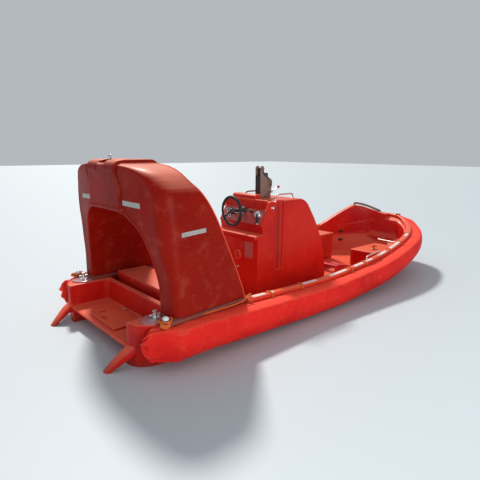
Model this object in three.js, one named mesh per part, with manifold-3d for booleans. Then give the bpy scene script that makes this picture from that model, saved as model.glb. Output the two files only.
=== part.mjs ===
// Fast rescue boat with a water jet, afloat.
// Millimetres. X runs forward from the transom, Y to port and Z up from the waterline.
// The whole boat is set back by MIDSHIPS, so its origin is on the waterline amidships.
import * as THREE from 'three';
import { mergeVertices } from 'three/addons/utils/BufferGeometryUtils.js';
import Module from 'manifold-3d';

const wasm = await Module();
wasm.setup();

// Driving dimensions
const MIDSHIPS = 2900;
const GAP = 0.3;
const PLATE = 12;

// Hull rows from gunwale to keel: greatest half breadth, forward reach, and aft and forward heights
const STRAIGHT = 3480;
const HULL_HALF = 965;
const HULL_REACH = 5775;
const LIP_HEIGHT = 46;
const COLLAR_DEPTH = 330;
const BOW_POWER = 2.25;
const BOW_ROUND = 2.08;
const CORNER_LENGTH = 270;
const CORNER_WIDTH = 215;
const BOW_STEPS = 18;

// Lip height along the boat: station, height
const SHEER = [
  [0, 462],
  [500, 461],
  [2500, 418],
  [3500, 474],
  [4400, 586],
  [4850, 640],
  [5200, 672],
  [5560, 744],
  [5775, 830],
];

// Top of the wall that stands on the lip round the port side of the bow
const BULWARK = [[4690, 600], [4850, 668], [5400, 970], [5560, 940], [5775, 830]];

// Deck and cockpit
const DECK = 425;
const SOLE = 130;
const COCKPIT = { aft: 540 };
// Side profile of the flat facet that ends the cockpit at the bow: station, height
const FACET = [[5430, 129], [5505, 400], [5595, 500], [5640, 900], [5690, 1301]];
const COCKPIT_LEVELS = [
  { z: 130, half: 815, reach: 5180 },
  { z: 300, half: 862, reach: 5430 },
  { z: 430, half: 922, reach: 5660 },
  { z: 1300, half: 922, reach: 5690 },
];
const WELL = { length: 469, half: 698, floor: 177, chamfer: 55 };
const POD_PAD = 14;

// The hull is moulded in five pieces that meet at the sole and at two stations
const SEAM = { stern: 540, bow: 4300, reach: 6200, half: 1300, keel: -500, top: 1300 };

// Canopy: heights with the rear face, front edge, half width aft and ahead, and rear corner at each
const CANOPY_LEVELS = [
  { z: 456, rear: 318, front: 1220, half: 1045, ahead: 975, corner: 100 },
  { z: 700, rear: 316, front: 1140, half: 1036, ahead: 980, corner: 100 },
  { z: 940, rear: 288, front: 1037, half: 1018, ahead: 982, corner: 130 },
  { z: 1140, rear: 264, front: 945, half: 1006, ahead: 986, corner: 160 },
  { z: 1330, rear: 244, front: 852, half: 1000, ahead: 990, corner: 170 },
  { z: 1490, rear: 238, front: 764, half: 988, ahead: 978, corner: 170 },
  { z: 1600, rear: 234, front: 690, half: 964, ahead: 950, corner: 170 },
  { z: 1680, rear: 224, front: 624, half: 905, ahead: 890, corner: 170 },
  { z: 1757, rear: 211, front: 585, half: 812, ahead: 800, corner: 170 },
  { z: 1800, rear: 209, front: 578, half: 705, ahead: 690, corner: 165 },
  { z: 1826, rear: 211, front: 580, half: 560, ahead: 550, corner: 150 },
  { z: 1840, rear: 222, front: 590, half: 380, ahead: 380, corner: 100 },
];
// The rear face swells aft between its shoulders, by nothing at the low height and by depth at the high one
const CROWN = { low: 1000, high: 1330, half: 800, depth: 70 };
const FLANGE_TOP = 455.7;
const BAND = { foot: 1385, half: 366, top: 1785, topHalf: 328 };
const PAD = { inner: 80, outer: 318, top: 1882 };
const CHANNEL_FLOOR = 1816;

// Valleys beside the band: height, start across, width and the station of the floor
const GROOVE = [
  { z: 1362, start: 368, width: 14, floor: 190 },
  { z: 1420, start: 364, width: 22, floor: 206 },
  { z: 1600, start: 346, width: 32, floor: 204 },
  { z: 1760, start: 322, width: 42, floor: 190 },
  { z: 1810, start: 318, width: 44, floor: 200 },
  { z: 1900, start: 318, width: 46, floor: 215 },
];

// Tunnel through the canopy: half breadth and height up one side
const TUNNEL = [
  [790, 300], [790, 600], [783, 700], [765, 800], [738, 900], [704, 1000], [661, 1100],
  [606, 1200], [567, 1250], [512, 1300], [466, 1330], [410, 1358], [350, 1378], [280, 1385],
];

// Console and engine casing
const CONSOLE = { half: 420, aft: 1895, front: 2240, top: 1345 };
const DASH = { x: 2000, z: 1050, upX: 0.528, upZ: 0.849 };
const WHEEL = { x: 1870, z: 1212, radius: 186, grip: 14 };
const CASING = { half: 420, aft: 2242, top: 1350, wall: 22 };
const CASING_GROOVE = { x: 2332, half: 68, deep: 48, foot: 445 };

// Lifting hook
const HOOK = { x: 2330, gap: 90 };

// Water jet: height of its axis and the upright axis its nozzle steers about
const JET = { z: -175, steerX: -168 };

// Solids as wasm bodies
function solidOf(geometry) {
  const bare = geometry.index ? geometry.toNonIndexed() : geometry.clone();
  bare.deleteAttribute('normal');
  bare.deleteAttribute('uv');
  const welded = mergeVertices(bare, 1e-4);
  return new wasm.Manifold(new wasm.Mesh({
    numProp: 3,
    vertProperties: new Float32Array(welded.attributes.position.array),
    triVerts: new Uint32Array(welded.index.array),
  }));
}

function geometryOf(solid) {
  const mesh = solid.getMesh();
  const geometry = new THREE.BufferGeometry();
  geometry.setAttribute('position', new THREE.BufferAttribute(new Float32Array(mesh.vertProperties), 3));
  geometry.setIndex(new THREE.BufferAttribute(new Uint32Array(mesh.triVerts), 1));
  geometry.computeVertexNormals();
  return geometry;
}

// A skin through rings with equal numbers of points, closed at both ends round the middle of the ring
function loft(rings) {
  const count = rings[0].length;
  const points = rings.flat();
  const faces = [];
  for (let r = 0; r + 1 < rings.length; r += 1) {
    for (let k = 0; k < count; k += 1) {
      const a = r * count + k;
      const b = r * count + ((k + 1) % count);
      faces.push([a, b, b + count], [a, b + count, a + count]);
    }
  }
  for (const [first, turn] of [[0, true], [(rings.length - 1) * count, false]]) {
    const middle = new THREE.Vector3();
    for (let k = 0; k < count; k += 1) middle.addScaledVector(points[first + k], 1 / count);
    points.push(middle);
    const hub = points.length - 1;
    for (let k = 0; k < count; k += 1) {
      const a = first + k;
      const b = first + ((k + 1) % count);
      faces.push(turn ? [b, a, hub] : [a, b, hub]);
    }
  }
  const geometry = new THREE.BufferGeometry();
  const places = points.flatMap((p) => [p.x, p.y, p.z]);
  geometry.setAttribute('position', new THREE.Float32BufferAttribute(places, 3));
  geometry.setIndex(faces.flat());
  const body = solidOf(geometry);
  if (body.volume() > 0) return body;
  geometry.setIndex(faces.flatMap(([a, b, c]) => [a, c, b]));
  return solidOf(geometry);
}

function box(x0, x1, y0, y1, z0, z1) {
  const geometry = new THREE.BoxGeometry(x1 - x0, y1 - y0, z1 - z0);
  return solidOf(geometry.translate((x0 + x1) / 2, (y0 + y1) / 2, (z0 + z1) / 2));
}

function shapeOf(points) {
  return new THREE.Shape(points.map(([a, b]) => new THREE.Vector2(a, b)));
}

// An outline in plan, as [x, y], raised from one height to another
function raised(points, z0, z1) {
  const geometry = new THREE.ExtrudeGeometry(shapeOf(points), { depth: z1 - z0, bevelEnabled: false });
  return solidOf(geometry.translate(0, 0, z0));
}

// A side outline, as [x, z], carried across from y0 to y1
function across(points, y0, y1) {
  const geometry = new THREE.ExtrudeGeometry(shapeOf(points), { depth: y1 - y0, bevelEnabled: false });
  return solidOf(geometry.rotateX(Math.PI / 2).translate(0, y1, 0));
}

// An end outline, as [y, z], carried along from x0 to x1
function along(points, x0, x1) {
  const geometry = new THREE.ExtrudeGeometry(shapeOf(points), { depth: x1 - x0, bevelEnabled: false });
  return solidOf(geometry.rotateX(Math.PI / 2).rotateZ(Math.PI / 2).translate(x0, 0, 0));
}

function rod(from, to, radius, sides = 12, endRadius = radius) {
  const start = new THREE.Vector3(...from);
  const end = new THREE.Vector3(...to);
  const geometry = new THREE.CylinderGeometry(endRadius, radius, start.distanceTo(end), sides);
  const turn = new THREE.Quaternion().setFromUnitVectors(
    new THREE.Vector3(0, 1, 0), end.clone().sub(start).normalize());
  geometry.applyQuaternion(turn);
  const middle = start.lerp(end, 0.5);
  return solidOf(geometry.translate(middle.x, middle.y, middle.z));
}

function ball(centre, radius, sides = 12) {
  return solidOf(new THREE.SphereGeometry(radius, sides, Math.round(sides / 2)).translate(...centre));
}

// A round bar bent through points, with rounded bends
function bar(points, radius, sides = 10, steps = 24) {
  const path = new THREE.CatmullRomCurve3(points.map((p) => new THREE.Vector3(...p)), false, 'centripetal');
  const ring = new THREE.Shape();
  for (let k = 0; k < sides; k += 1) {
    const turn = (k / sides) * 2 * Math.PI;
    const spot = [radius * Math.cos(turn), radius * Math.sin(turn)];
    if (k === 0) ring.moveTo(...spot);
    else ring.lineTo(...spot);
  }
  return solidOf(new THREE.ExtrudeGeometry(ring, { extrudePath: path, steps, bevelEnabled: false }));
}

// A turned body about a vertical axis: outline as [radius, height] from axis to axis
function turned(outline, sides, place) {
  const geometry = new THREE.LatheGeometry(outline.map(([r, h]) => new THREE.Vector2(r, h)), sides);
  return solidOf(geometry.rotateX(Math.PI / 2).translate(...place));
}

// Radius of a many-sided bore whose flats keep the gap round a pin
const BORE_SIDES = 16;
function boreFor(pin) {
  return (pin + GAP) / Math.cos(Math.PI / BORE_SIDES);
}

function union(...solids) {
  return solids.reduce((whole, next) => whole.add(next));
}

function mirrored(points) {
  return [...points, ...points.map(([y, z]) => [-y, z]).reverse()];
}

// Reads a table of station and height, smooth through its rows and level at its peaks
function heightAt(table, x) {
  const last = table.length - 2;
  let k = 0;
  while (k < last && x > table[k + 1][0]) k += 1;
  const slope = (i) => {
    if (i <= 0 || i >= table.length - 1) return 0;
    const before = (table[i][1] - table[i - 1][1]) / (table[i][0] - table[i - 1][0]);
    const after = (table[i + 1][1] - table[i][1]) / (table[i + 1][0] - table[i][0]);
    return before * after > 0 ? (2 * before * after) / (before + after) : 0;
  };
  const span = table[k + 1][0] - table[k][0];
  const t = Math.min(Math.max((x - table[k][0]) / span, 0), 1);
  const climb = table[k + 1][1] - table[k][1];
  const a = slope(k) * span;
  const b = slope(k + 1) * span;
  return table[k][1] + t * (a + t * (3 * climb - 2 * a - b + t * (a + b - 2 * climb)));
}

function sheer(x) {
  return heightAt(SHEER, x);
}

// Stations as how far along the bow curve they lie and how much breadth is left there
const LIP_START = 1245;
const AFT_STATIONS = [0, 15, 55, 120, 195, CORNER_LENGTH, 700, LIP_START, 1800, 2500, 3000];
function stations() {
  const list = AFT_STATIONS.map((x) => {
    const lead = Math.max(CORNER_LENGTH - x, 0) / CORNER_LENGTH;
    return { x, reach: 0, breadth: 1 - (CORNER_WIDTH / HULL_HALF) * (1 - Math.sqrt(1 - lead * lead)) };
  });
  for (let k = 0; k <= BOW_STEPS; k += 1) {
    const turn = (k / BOW_STEPS) * (Math.PI / 2);
    const reach = Math.sin(turn) ** (2 / BOW_POWER);
    const breadth = Math.max(Math.cos(turn) ** (2 / BOW_ROUND), 0.001);
    list.push({ x: STRAIGHT, reach, breadth });
  }
  return list;
}
const STATIONS = stations();

function hullPoint(station, row) {
  const x = station.x + (row.reach - STRAIGHT) * station.reach;
  const gunwaleX = station.x + (HULL_REACH - STRAIGHT) * station.reach;
  return new THREE.Vector3(x, row.half * station.breadth, row.height(station, gunwaleX));
}

function rise(station, aft, stem, power) {
  return aft + (stem - aft) * station.reach ** power;
}

const GUNWALE = {
  half: HULL_HALF,
  reach: HULL_REACH,
  height: (s, x) => (x < LIP_START ? DECK : sheer(x) - LIP_HEIGHT),
};
const COLLAR_FOOT = {
  half: HULL_HALF,
  reach: HULL_REACH - 25,
  height: (s, x) => sheer(x) - LIP_HEIGHT - COLLAR_DEPTH + 10,
};
const HULL_ROWS = [
  GUNWALE,
  COLLAR_FOOT,
  { half: 905, reach: 5600, height: (s, x) => Math.min(rise(s, 0, 300, 2.2), sheer(x) - COLLAR_DEPTH - 90) },
  { half: 850, reach: 5520, height: (s) => rise(s, -40, 170, 2.2) },
  { half: 430, reach: 5400, height: (s) => rise(s, -225, 20, 2.6) },
  { half: 12, reach: 5290, height: (s) => rise(s, -400, -130, 3) },
];

function hullShell() {
  return loft(STATIONS.map((station) => {
    const port = HULL_ROWS.map((row) => hullPoint(station, row));
    const starboard = port.map((p) => new THREE.Vector3(p.x, -p.y, p.z)).reverse();
    return [...port, ...starboard];
  }));
}

function superPlan(half, reach, aft, x0) {
  const points = [[aft, half]];
  for (let k = 0; k <= 14; k += 1) {
    const turn = (k / 14) * (Math.PI / 2);
    const along = Math.sin(turn) ** (2 / BOW_POWER);
    points.push([x0 + (reach - x0) * along, half * Math.cos(turn) ** (2 / BOW_ROUND)]);
  }
  return points;
}

// The cockpit as a space: walls that flare upward, ended by a leaning flat facet at the bow
function cockpitSpace(inset = 0) {
  const ring = (ringHalf, ringReach, z) => {
    const port = superPlan(ringHalf, ringReach, COCKPIT.aft, STRAIGHT).slice(0, -1);
    const outline = [...port, [ringReach, 0], ...port.map(([x, y]) => [x, -y]).reverse()];
    return outline.map(([x, y]) => new THREE.Vector3(x, y, z));
  };
  const walls = loft(COCKPIT_LEVELS.map(({ z, half, reach }) => ring(half - inset, reach - inset, z)));
  const aft = COCKPIT.aft - 1;
  const facet = FACET.map(([x, z]) => [x - inset, z]);
  return walls.intersect(across([[aft, FACET[0][1]], ...facet, [aft, FACET.at(-1)[1]]], -1200, 1200));
}

function wellSpace() {
  const { length, half, floor, chamfer } = WELL;
  return raised([
    [-20, -half], [length - chamfer, -half], [length, -half + chamfer],
    [length, half - chamfer], [length - chamfer, half], [-20, half],
  ], floor, 900);
}

// The transom is hollowed under the sill of the well
function sternHollow() {
  return across([[-20, 148], [12, 148], [165, -10], [-20, -10]], -640, 640);
}

function podPad(side) {
  const points = [[92, 748], [300, 748], [300, 925], [212, 925], [205, 948], [140, 935], [86, 868]];
  return raised(points.map(([x, y]) => [x, side * y]), DECK - 5, DECK + POD_PAD);
}

// The hull: a foam filled moulding with its cockpit, stern well and jet intake cut out
function hullBody() {
  let hull = hullShell();
  hull = hull.subtract(cockpitSpace()).subtract(wellSpace());
  hull = hull.add(podPad(1)).add(podPad(-1));
  hull = hull.subtract(box(700, 1250, -110, 110, -450, -325)).subtract(sternHollow());
  const sternLedge = box(WELL.length + 1, COCKPIT.aft - 1, -WELL.half + 20, WELL.half - 20, DECK - 5, 900);
  return hull.subtract(sternLedge).subtract(lipBody(GAP)).subtract(collarBody(GAP));
}

function hullPieces() {
  const whole = hullBody();
  const { stern, bow, reach, half, keel, top } = SEAM;
  const above = SOLE + GAP;
  return {
    hull: whole.intersect(box(-100, reach, -half, half, keel, SOLE)),
    stern_moulding: whole.intersect(box(-100, stern, -half, half, above, top)),
    hull_side_port: whole.intersect(box(stern + GAP, bow, 0, half, above, top)),
    hull_side_starboard: whole.intersect(box(stern + GAP, bow, -half, 0, above, top)),
    bow_moulding: whole.intersect(box(bow + GAP, reach, -half, half, above, top)),
  };
}

// Spots along a row of the port side with the level direction that points outboard at each
function sidePath(aftX, row) {
  const spots = STATIONS.filter((station) => station.x >= aftX).map((station) => hullPoint(station, row));
  const tip = spots.length - 1;
  spots[tip].y = 0;
  return spots.map((spot, k) => {
    if (k === tip) return { spot, outward: new THREE.Vector3(1, 0, 0) };
    const before = spots[Math.max(k - 1, 0)];
    const after = spots[k + 1];
    return { spot, outward: new THREE.Vector3(before.y - after.y, after.x - before.x, 0).normalize() };
  });
}

// A strip carried round the whole hull: its outline as [outboard, height] from the row it follows
function carried(outline, aftX, row) {
  const rings = sidePath(aftX, row).map(({ spot, outward }) => outline.map(([out, height]) => (
    spot.clone().addScaledVector(outward, out).add(new THREE.Vector3(0, 0, height)))));
  const opposite = (ring) => ring.map((p) => new THREE.Vector3(p.x, -p.y, p.z));
  return loft([...rings, ...rings.slice(0, -1).map(opposite).reverse()]);
}

// An outline grown outward from its middle, for the seat that takes the piece
function grown(outline, by) {
  const middle = [0, 1].map((axis) => outline.reduce((sum, spot) => sum + spot[axis], 0) / outline.length);
  return outline.map((spot) => spot.map((value, axis) => value + by * Math.sign(value - middle[axis])));
}

const LIP_OUTLINE = [[-34, 0], [56, 0], [58, 22], [46, 40], [26, 46], [-14, 46], [-30, 38], [-36, 20]];
function lipBody(by = 0) {
  return carried(grown(LIP_OUTLINE, by), LIP_START, GUNWALE);
}

// The raised wall on the lip round the port side of the bow, sunk into the lip at both ends
function bulwarkBody(by = 0) {
  const run = sidePath(LIP_START, GUNWALE).filter(({ spot }) => spot.x > BULWARK[0][0]);
  return loft(run.map(({ spot, outward }) => {
    const top = Math.max(heightAt(BULWARK, spot.x) - spot.z, 30);
    const outline = grown([[-30, 10], [44, 10], [48, top - 14], [36, top], [-18, top], [-30, top - 12]], by);
    return outline.map(([out, height]) => (
      spot.clone().addScaledVector(outward, out).add(new THREE.Vector3(0, 0, height))));
  }));
}

// The fender collar: flat top face, upright outer face and an undercut lower face
const COLLAR_OUTLINE = [
  [0, -4], [60, -4], [208, -20], [228, -42], [232, -200], [160, -COLLAR_DEPTH], [0, -COLLAR_DEPTH],
];
function collarBody(by = 0) {
  return carried(grown(COLLAR_OUTLINE, by), 120, GUNWALE);
}

// One level of the canopy: a straight side, a round rear corner and the swelling rear face
function canopyRing({ z, rear, front, half, ahead, corner }) {
  const share = THREE.MathUtils.clamp((z - CROWN.low) / (CROWN.high - CROWN.low), 0, 1);
  const face = (y) => rear - CROWN.depth * share * Math.max(1 - (y / CROWN.half) ** 2, 0);
  const edge = face(half - corner);
  const points = [[front, ahead]];
  for (let k = 0; k <= 5; k += 1) {
    const turn = (k / 5) * (Math.PI / 2);
    points.push([edge + corner * (1 - Math.sin(turn)), half - corner * (1 - Math.cos(turn))]);
  }
  for (let k = 1; k <= 5; k += 1) {
    const y = (half - corner) * (1 - k / 6);
    points.push([face(y), y]);
  }
  const port = points.map(([x, y]) => new THREE.Vector3(x, y, z));
  return [...port, ...port.map((p) => new THREE.Vector3(p.x, -p.y, p.z)).reverse()];
}

// The proud middle band over the rear and top, narrower towards its top
function canopyBand() {
  const side = [
    [300, 1375], [166, 1375], [164, 1480], [150, 1740], [152, 1772], [168, 1800], [200, 1816],
    [250, 1820], [560, 1830], [585, 1810], [585, 1600], [400, 1400],
  ];
  const ends = mirrored([
    [BAND.half, BAND.foot - 100], [BAND.half, BAND.foot], [BAND.topHalf, BAND.top],
    [BAND.topHalf, BAND.top + 100],
  ]);
  return across(side, -BAND.half, BAND.half).intersect(along(ends, 100, 700));
}

// Two raised pads that wrap over the rear edge of the top
function canopyPads() {
  const { inner, outer, top } = PAD;
  const side = [
    [200, 1770], [136, 1768], [131, 1790], [140, 1826], [162, 1858], [200, 1877], [250, top],
    [560, top + 2], [600, top - 10], [640, 1835], [600, 1700], [300, 1700],
  ];
  return across(side, inner, outer).add(across(side, -outer, -inner));
}

// The valley between the band and one shoulder
function canopyGroove(side) {
  return loft(GROOVE.map(({ z, start, width, floor }) => [
    [0, start], [floor, start], [floor, start + width * 0.6], [floor - 50, start + width],
    [0, start + width + 10],
  ].map(([x, y]) => new THREE.Vector3(x, side * y, z))));
}

function canopyBody() {
  const arch = loft(CANOPY_LEVELS.map(canopyRing)).subtract(canopyGroove(1)).subtract(canopyGroove(-1));
  const channel = box(100, 700, -PAD.inner, PAD.inner, CHANNEL_FLOOR, 2000);
  return union(arch, canopyBand(), canopyPads()).subtract(channel).subtract(along(mirrored(TUNNEL), 0, 1400));
}

const BENCH = { aft: 602, front: 1010, half: 725, top: 500 };
function benchBody() {
  const { aft, front, half, top } = BENCH;
  return across([
    [aft + 38, SOLE + GAP], [front, SOLE + GAP], [front, top - 30], [front - 10, top], [aft + 8, top],
    [aft, top - 30],
  ], -half, half);
}

// The steering console: toe space, shelf, sloping dash above it and a cowl behind the hook
function consoleBody() {
  const { half, aft, front, top } = CONSOLE;
  const side = [
    [aft + 50, SOLE + GAP], [front, SOLE + GAP], [front, top], [aft + 245, top], [aft + 230, top - 10],
    [aft + 220, 1235], [DASH.x, DASH.z], [aft + 125, 1040], [aft + 135, 935], [aft + 12, 932], [aft, 920],
    [aft, 898], [aft + 10, 886], [aft + 50, 868],
  ];
  const cowl = across([
    [aft + 245, top - 60], [front, top - 60], [front, 1430], [aft + 262, 1436], [aft + 240, 1412],
  ], -150, 300);
  return across(side, -half, half).add(cowl);
}

function casingOutline(inset) {
  const foot = SOLE + GAP - (inset ? 1 : 0);
  return [
    [CASING.aft + inset, foot], [3335 - inset, foot],
    [3290 - inset, 480], [3195 - inset, 767], [3065 - inset, 1019], [2880 - inset, 1285 - inset],
    [2800 - inset, 1335 - inset], [2740 - inset, CASING.top - inset],
    [CASING.aft + 45 + inset, CASING.top - inset], [CASING.aft + inset, CASING.top - 25 - inset],
  ];
}

// Engine casing: a moulded cover, open below, with a hollow groove down each side
function casingBody() {
  const { half, wall } = CASING;
  const shoulder = 60;
  const ends = mirrored([
    [half, SOLE - 10], [half, CASING.top - shoulder], [half - 8, CASING.top - 30],
    [half - 28, CASING.top - 8], [half - shoulder, CASING.top + 1],
  ]);
  const outer = across(casingOutline(0), -half, half).intersect(along(ends, 2000, 3500));
  const inner = across(casingOutline(wall), -half + wall * 2.5, half - wall * 2.5);
  const groove = CASING_GROOVE;
  const turns = Array.from({ length: 20 }, (_, k) => (k / 10) * Math.PI);
  const grooves = [half, -half].map((y) => raised(
    turns.map((turn) => [groove.x + groove.half * Math.cos(turn), y + groove.deep * Math.sin(turn)]),
    groove.foot, CASING.top + 50,
  ));
  return outer.subtract(inner).subtract(union(...grooves));
}

// A spot on the sloping dash: how far up its face and how far out of it, as [x, z]
function dash(up, out) {
  return [DASH.x + up * DASH.upX - out * DASH.upZ, DASH.z + up * DASH.upZ + out * DASH.upX];
}

function dashRod(y, up, out0, out1, radius, sides = 18) {
  const [x0, z0] = dash(up, out0);
  const [x1, z1] = dash(up, out1);
  return rod([x0, y, z0], [x1, y, z1], radius, sides);
}

// Gauges on the dash: across, up its face and radius
const GAUGES = [
  { y: 30, up: 152, radius: 40 },
  { y: 130, up: 152, radius: 40 },
  { y: 225, up: 150, radius: 34 },
  { y: 310, up: 150, radius: 34 },
  { y: 225, up: 62, radius: 26 },
  { y: 310, up: 62, radius: 26 },
];
function dashPanelBody() {
  const { x, z } = WHEEL;
  const face = across([dash(10, GAP), dash(208, GAP), dash(208, 8), dash(10, 8)], -380, 380);
  const dials = GAUGES.map(({ y, up, radius }) => dashRod(y, up, 7, 20, radius));
  const boss = rod([2130, 0, z], [2065, 0, z], 44, 20);
  const shaft = rod([2100, 0, z], [x + 18 + GAP, 0, z], 20, 16);
  const clear = across([dash(-100, GAP), dash(214, GAP), dash(214, 400), dash(-100, 400)], -500, 500);
  return union(face, ...dials, union(boss, shaft).intersect(clear));
}

// The wheel stands upright and faces aft
function steeringWheel() {
  const { x, z, radius, grip } = WHEEL;
  const parts = [solidOf(new THREE.TorusGeometry(radius, grip, 8, 28))];
  for (let k = 0; k < 3; k += 1) {
    const turn = (k / 3) * 2 * Math.PI - Math.PI / 2;
    parts.push(rod([0, 0, 0], [radius * Math.cos(turn), radius * Math.sin(turn), 0], 9, 8));
  }
  parts.push(solidOf(new THREE.CylinderGeometry(36, 40, 36, 18).rotateX(Math.PI / 2)));
  const geometry = geometryOf(union(...parts));
  return solidOf(geometry.rotateX(Math.PI / 2).rotateZ(-Math.PI / 2).translate(x, 0, z));
}

// Throttle on the dash to starboard: a round head with its lever hanging down and outboard
function throttleBody() {
  const y = -300;
  const [x, z] = dash(137, 40);
  const tip = [1990, -350, 1076];
  return union(dashRod(y, 137, 8 + GAP, 50, 46, 24), rod([x, y, z], tip, 13, 12), ball(tip, 13));
}

function ventBody() {
  const outline = [[0, 0], [64, 0], [64, 14], [56, 22], [42, 22], [36, 12], [22, 12], [16, 24], [0, 24]];
  const geometry = new THREE.LatheGeometry(outline.map(([r, h]) => new THREE.Vector2(r, h)), 20);
  return solidOf(geometry.rotateZ(Math.PI / 2).translate(CONSOLE.aft + 50 - GAP, -41, 640));
}

// A rail on two feet: ends, height at each end and how high it stands
function standingRail(from, to, height, radius = 11) {
  const a = new THREE.Vector3(...from);
  const b = new THREE.Vector3(...to);
  const up = new THREE.Vector3(0, 0, height);
  const spot = (t, lift) => a.clone().lerp(b, t).addScaledVector(up, lift).toArray();
  return bar([spot(0, 0), spot(0, 0.62), spot(0.05, 0.93), spot(0.14, 1), spot(0.5, 1), spot(0.86, 1),
    spot(0.95, 0.93), spot(1, 0.62), spot(1, 0)], radius, 8, 30);
}

function cheekPlate(y) {
  const { x } = HOOK;
  const foot = CASING.top + GAP;
  return across([
    [x, foot], [x + 192, foot], [x + 196, 1449], [x + 220, 1530], [x + 214, 1584], [x + 72, 1674],
    [x + 62, 1700], [x + 60, 1762], [x + 40, 1778], [x + 8, 1770], [x, 1750],
  ], y - PLATE / 2, y + PLATE / 2);
}

// A low block on the casing between the cheeks
function hookPedestal() {
  const side = HOOK.gap / 2 - PLATE / 2 - GAP;
  const foot = CASING.top + GAP;
  return across([
    [HOOK.x + 9.5, foot], [HOOK.x + 186, foot], [HOOK.x + 172, foot + 34], [HOOK.x + 9.5, foot + 34],
  ], -side, side);
}

// Steel frame of the lifting hook: two cheek plates, a back plate, the bearing pin and two stays
const JAW_PIN = { x: 2370, z: 1735, radius: 10 };
const STAYS = [{ x: 2490, z: 1406, radius: 11 }, { x: 2500, z: 1589, radius: 9 }];
function hookFrame() {
  const side = HOOK.gap / 2;
  const rods = [...STAYS, JAW_PIN].map(({ x, z, radius }) => rod([x, -side, z], [x, side, z], radius, 12));
  const back = box(HOOK.x, HOOK.x + 9, -side, side, CASING.top + GAP, 1640);
  return union(cheekPlate(side), cheekPlate(-side), ...rods, back);
}

// The hook itself hangs on the bearing pin between the cheeks, its bill turned up and forward
function hookJaw() {
  const { x, z } = JAW_PIN;
  const bill = across([
    [x - 18, z + 16], [x + 18, z + 16], [x + 22, z - 60], [x + 40, z - 105], [x + 78, z - 112],
    [x + 98, z - 84], [x + 100, z - 52], [x + 120, z - 58], [x + 124, z - 96], [x + 104, z - 138],
    [x + 62, z - 158], [x + 14, z - 142], [x - 16, z - 90],
  ], -26, 26);
  return bill.subtract(rod([x, -40, z], [x, 40, z], boreFor(JAW_PIN.radius), BORE_SIDES));
}

function releaseLever() {
  const y = -78;
  const pivot = [HOOK.x + 180, y, 1432];
  const arm = rod(pivot, [2634, y, 1486], 7, 10);
  const boss = rod([pivot[0], -HOOK.gap / 2 - PLATE / 2 - 0.5, pivot[2]], [pivot[0], -92, pivot[2]], 17, 14);
  return union(arm, boss, ball([2642, y, 1489], 20));
}

// Port seat locker beside the casing
function seatLocker() {
  const locker = box(3480, 4420, 285, 900, SOLE + GAP, 560).add(box(3470, 4430, 275, 900, 559, 582));
  return locker.intersect(cockpitSpace(GAP * 2));
}

// Folded foot stretcher on the sole ahead of the casing: two side boards and two slats
function stretcherBody() {
  const boards = [-390, -60].map((y) => across([
    [3600, SOLE + GAP], [4080, SOLE + GAP], [4110, 175], [3720, 262], [3640, 262],
  ], y, y + 24));
  const slats = [[3660, 225], [3900, 185]].map(([x, z]) => box(x, x + 90, -380, -50, z, z + 20));
  return union(...boards, ...slats);
}

const LOCKER = { aft: 4270, front: 5000, port: -190, starboard: -640, top: 398 };
function bowLocker() {
  const { aft, front, port, starboard, top } = LOCKER;
  const plan = [
    [aft, starboard], [front - 120, starboard], [front, starboard + 110], [front, port], [aft, port],
  ];
  const body = raised(plan, SOLE + GAP, top).intersect(cockpitSpace(GAP * 2));
  return body.subtract(box(aft - 10, aft + 60, starboard + 60, starboard + 150, 195, 265));
}

function painterRelease() {
  const x = 4520;
  const y = -470;
  const z = LOCKER.top + GAP;
  const plate = box(x - 55, x + 55, y - 45, y + 45, z, z + 8);
  const post = rod([x, y, z + 4], [x, y, z + 62], 15, 12);
  const cross = rod([x - 46, y + 18, z + 48], [x + 46, y - 18, z + 48], 9, 10);
  return union(plate, post, cross, ball([x, y, z + 62], 18));
}

// Mooring bollard: a round plate, a post and two arms
const BOLLARD = { x: 226, y: 840, reach: 46, arm: 9, knob: 12, height: 40 };
function bollard(side) {
  const { x, reach, arm, knob, height } = BOLLARD;
  const y = side * BOLLARD.y;
  const z = DECK + POD_PAD + GAP;
  const profile = [[0, 0], [50, 0], [50, 7], [24, 12], [16, 20], [16, 62], [22, 68], [22, 78], [0, 84]];
  const [aft, front] = [-reach, reach].map((out) => [x + out, y, z + height]);
  return union(turned(profile, 16, [x, y, z]), rod(aft, front, arm, 10), ball(aft, knob), ball(front, knob));
}

// Dome light on the quarter: a black foot under a white dome
const QUARTER_LIGHT = { x: 234, y: 1014 };
function quarterLight(side) {
  const profile = [[0, 0], [40, 0], [40, 16], [32, 20], [30, 34], [20, 48], [0, 53]];
  return turned(profile, 16, [QUARTER_LIGHT.x, side * QUARTER_LIGHT.y, FLANGE_TOP + GAP]);
}

// Ring bolt on top of the arch, on a round foot between the pads
const RING = { x: 262, height: 87, radius: 23, thick: 6 };
function archRing() {
  const foot = CHANNEL_FLOOR + GAP;
  const profile = [[0, 0], [34, 0], [34, 45], [40, 48], [40, 62], [36, 66], [0, 66]];
  const ring = new THREE.TorusGeometry(RING.radius, RING.thick, 8, 20).rotateY(Math.PI / 2);
  return turned(profile, 18, [RING.x, 0, foot]).add(solidOf(ring.translate(RING.x, 0, foot + RING.height)));
}

// The canopy's foot on the deck, with a tab aft that carries the quarter light
function canopyFlange(side) {
  const outline = [
    [330, 762], [1195, 762], [1243, 930], [1238, 1000], [420, 1072], [215, 1072], [190, 1050], [190, 975],
    [214, 953], [304, 930], [306, 790],
  ];
  return raised(outline.map(([x, y]) => [x, side * y]), DECK + GAP, FLANGE_TOP);
}

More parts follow.
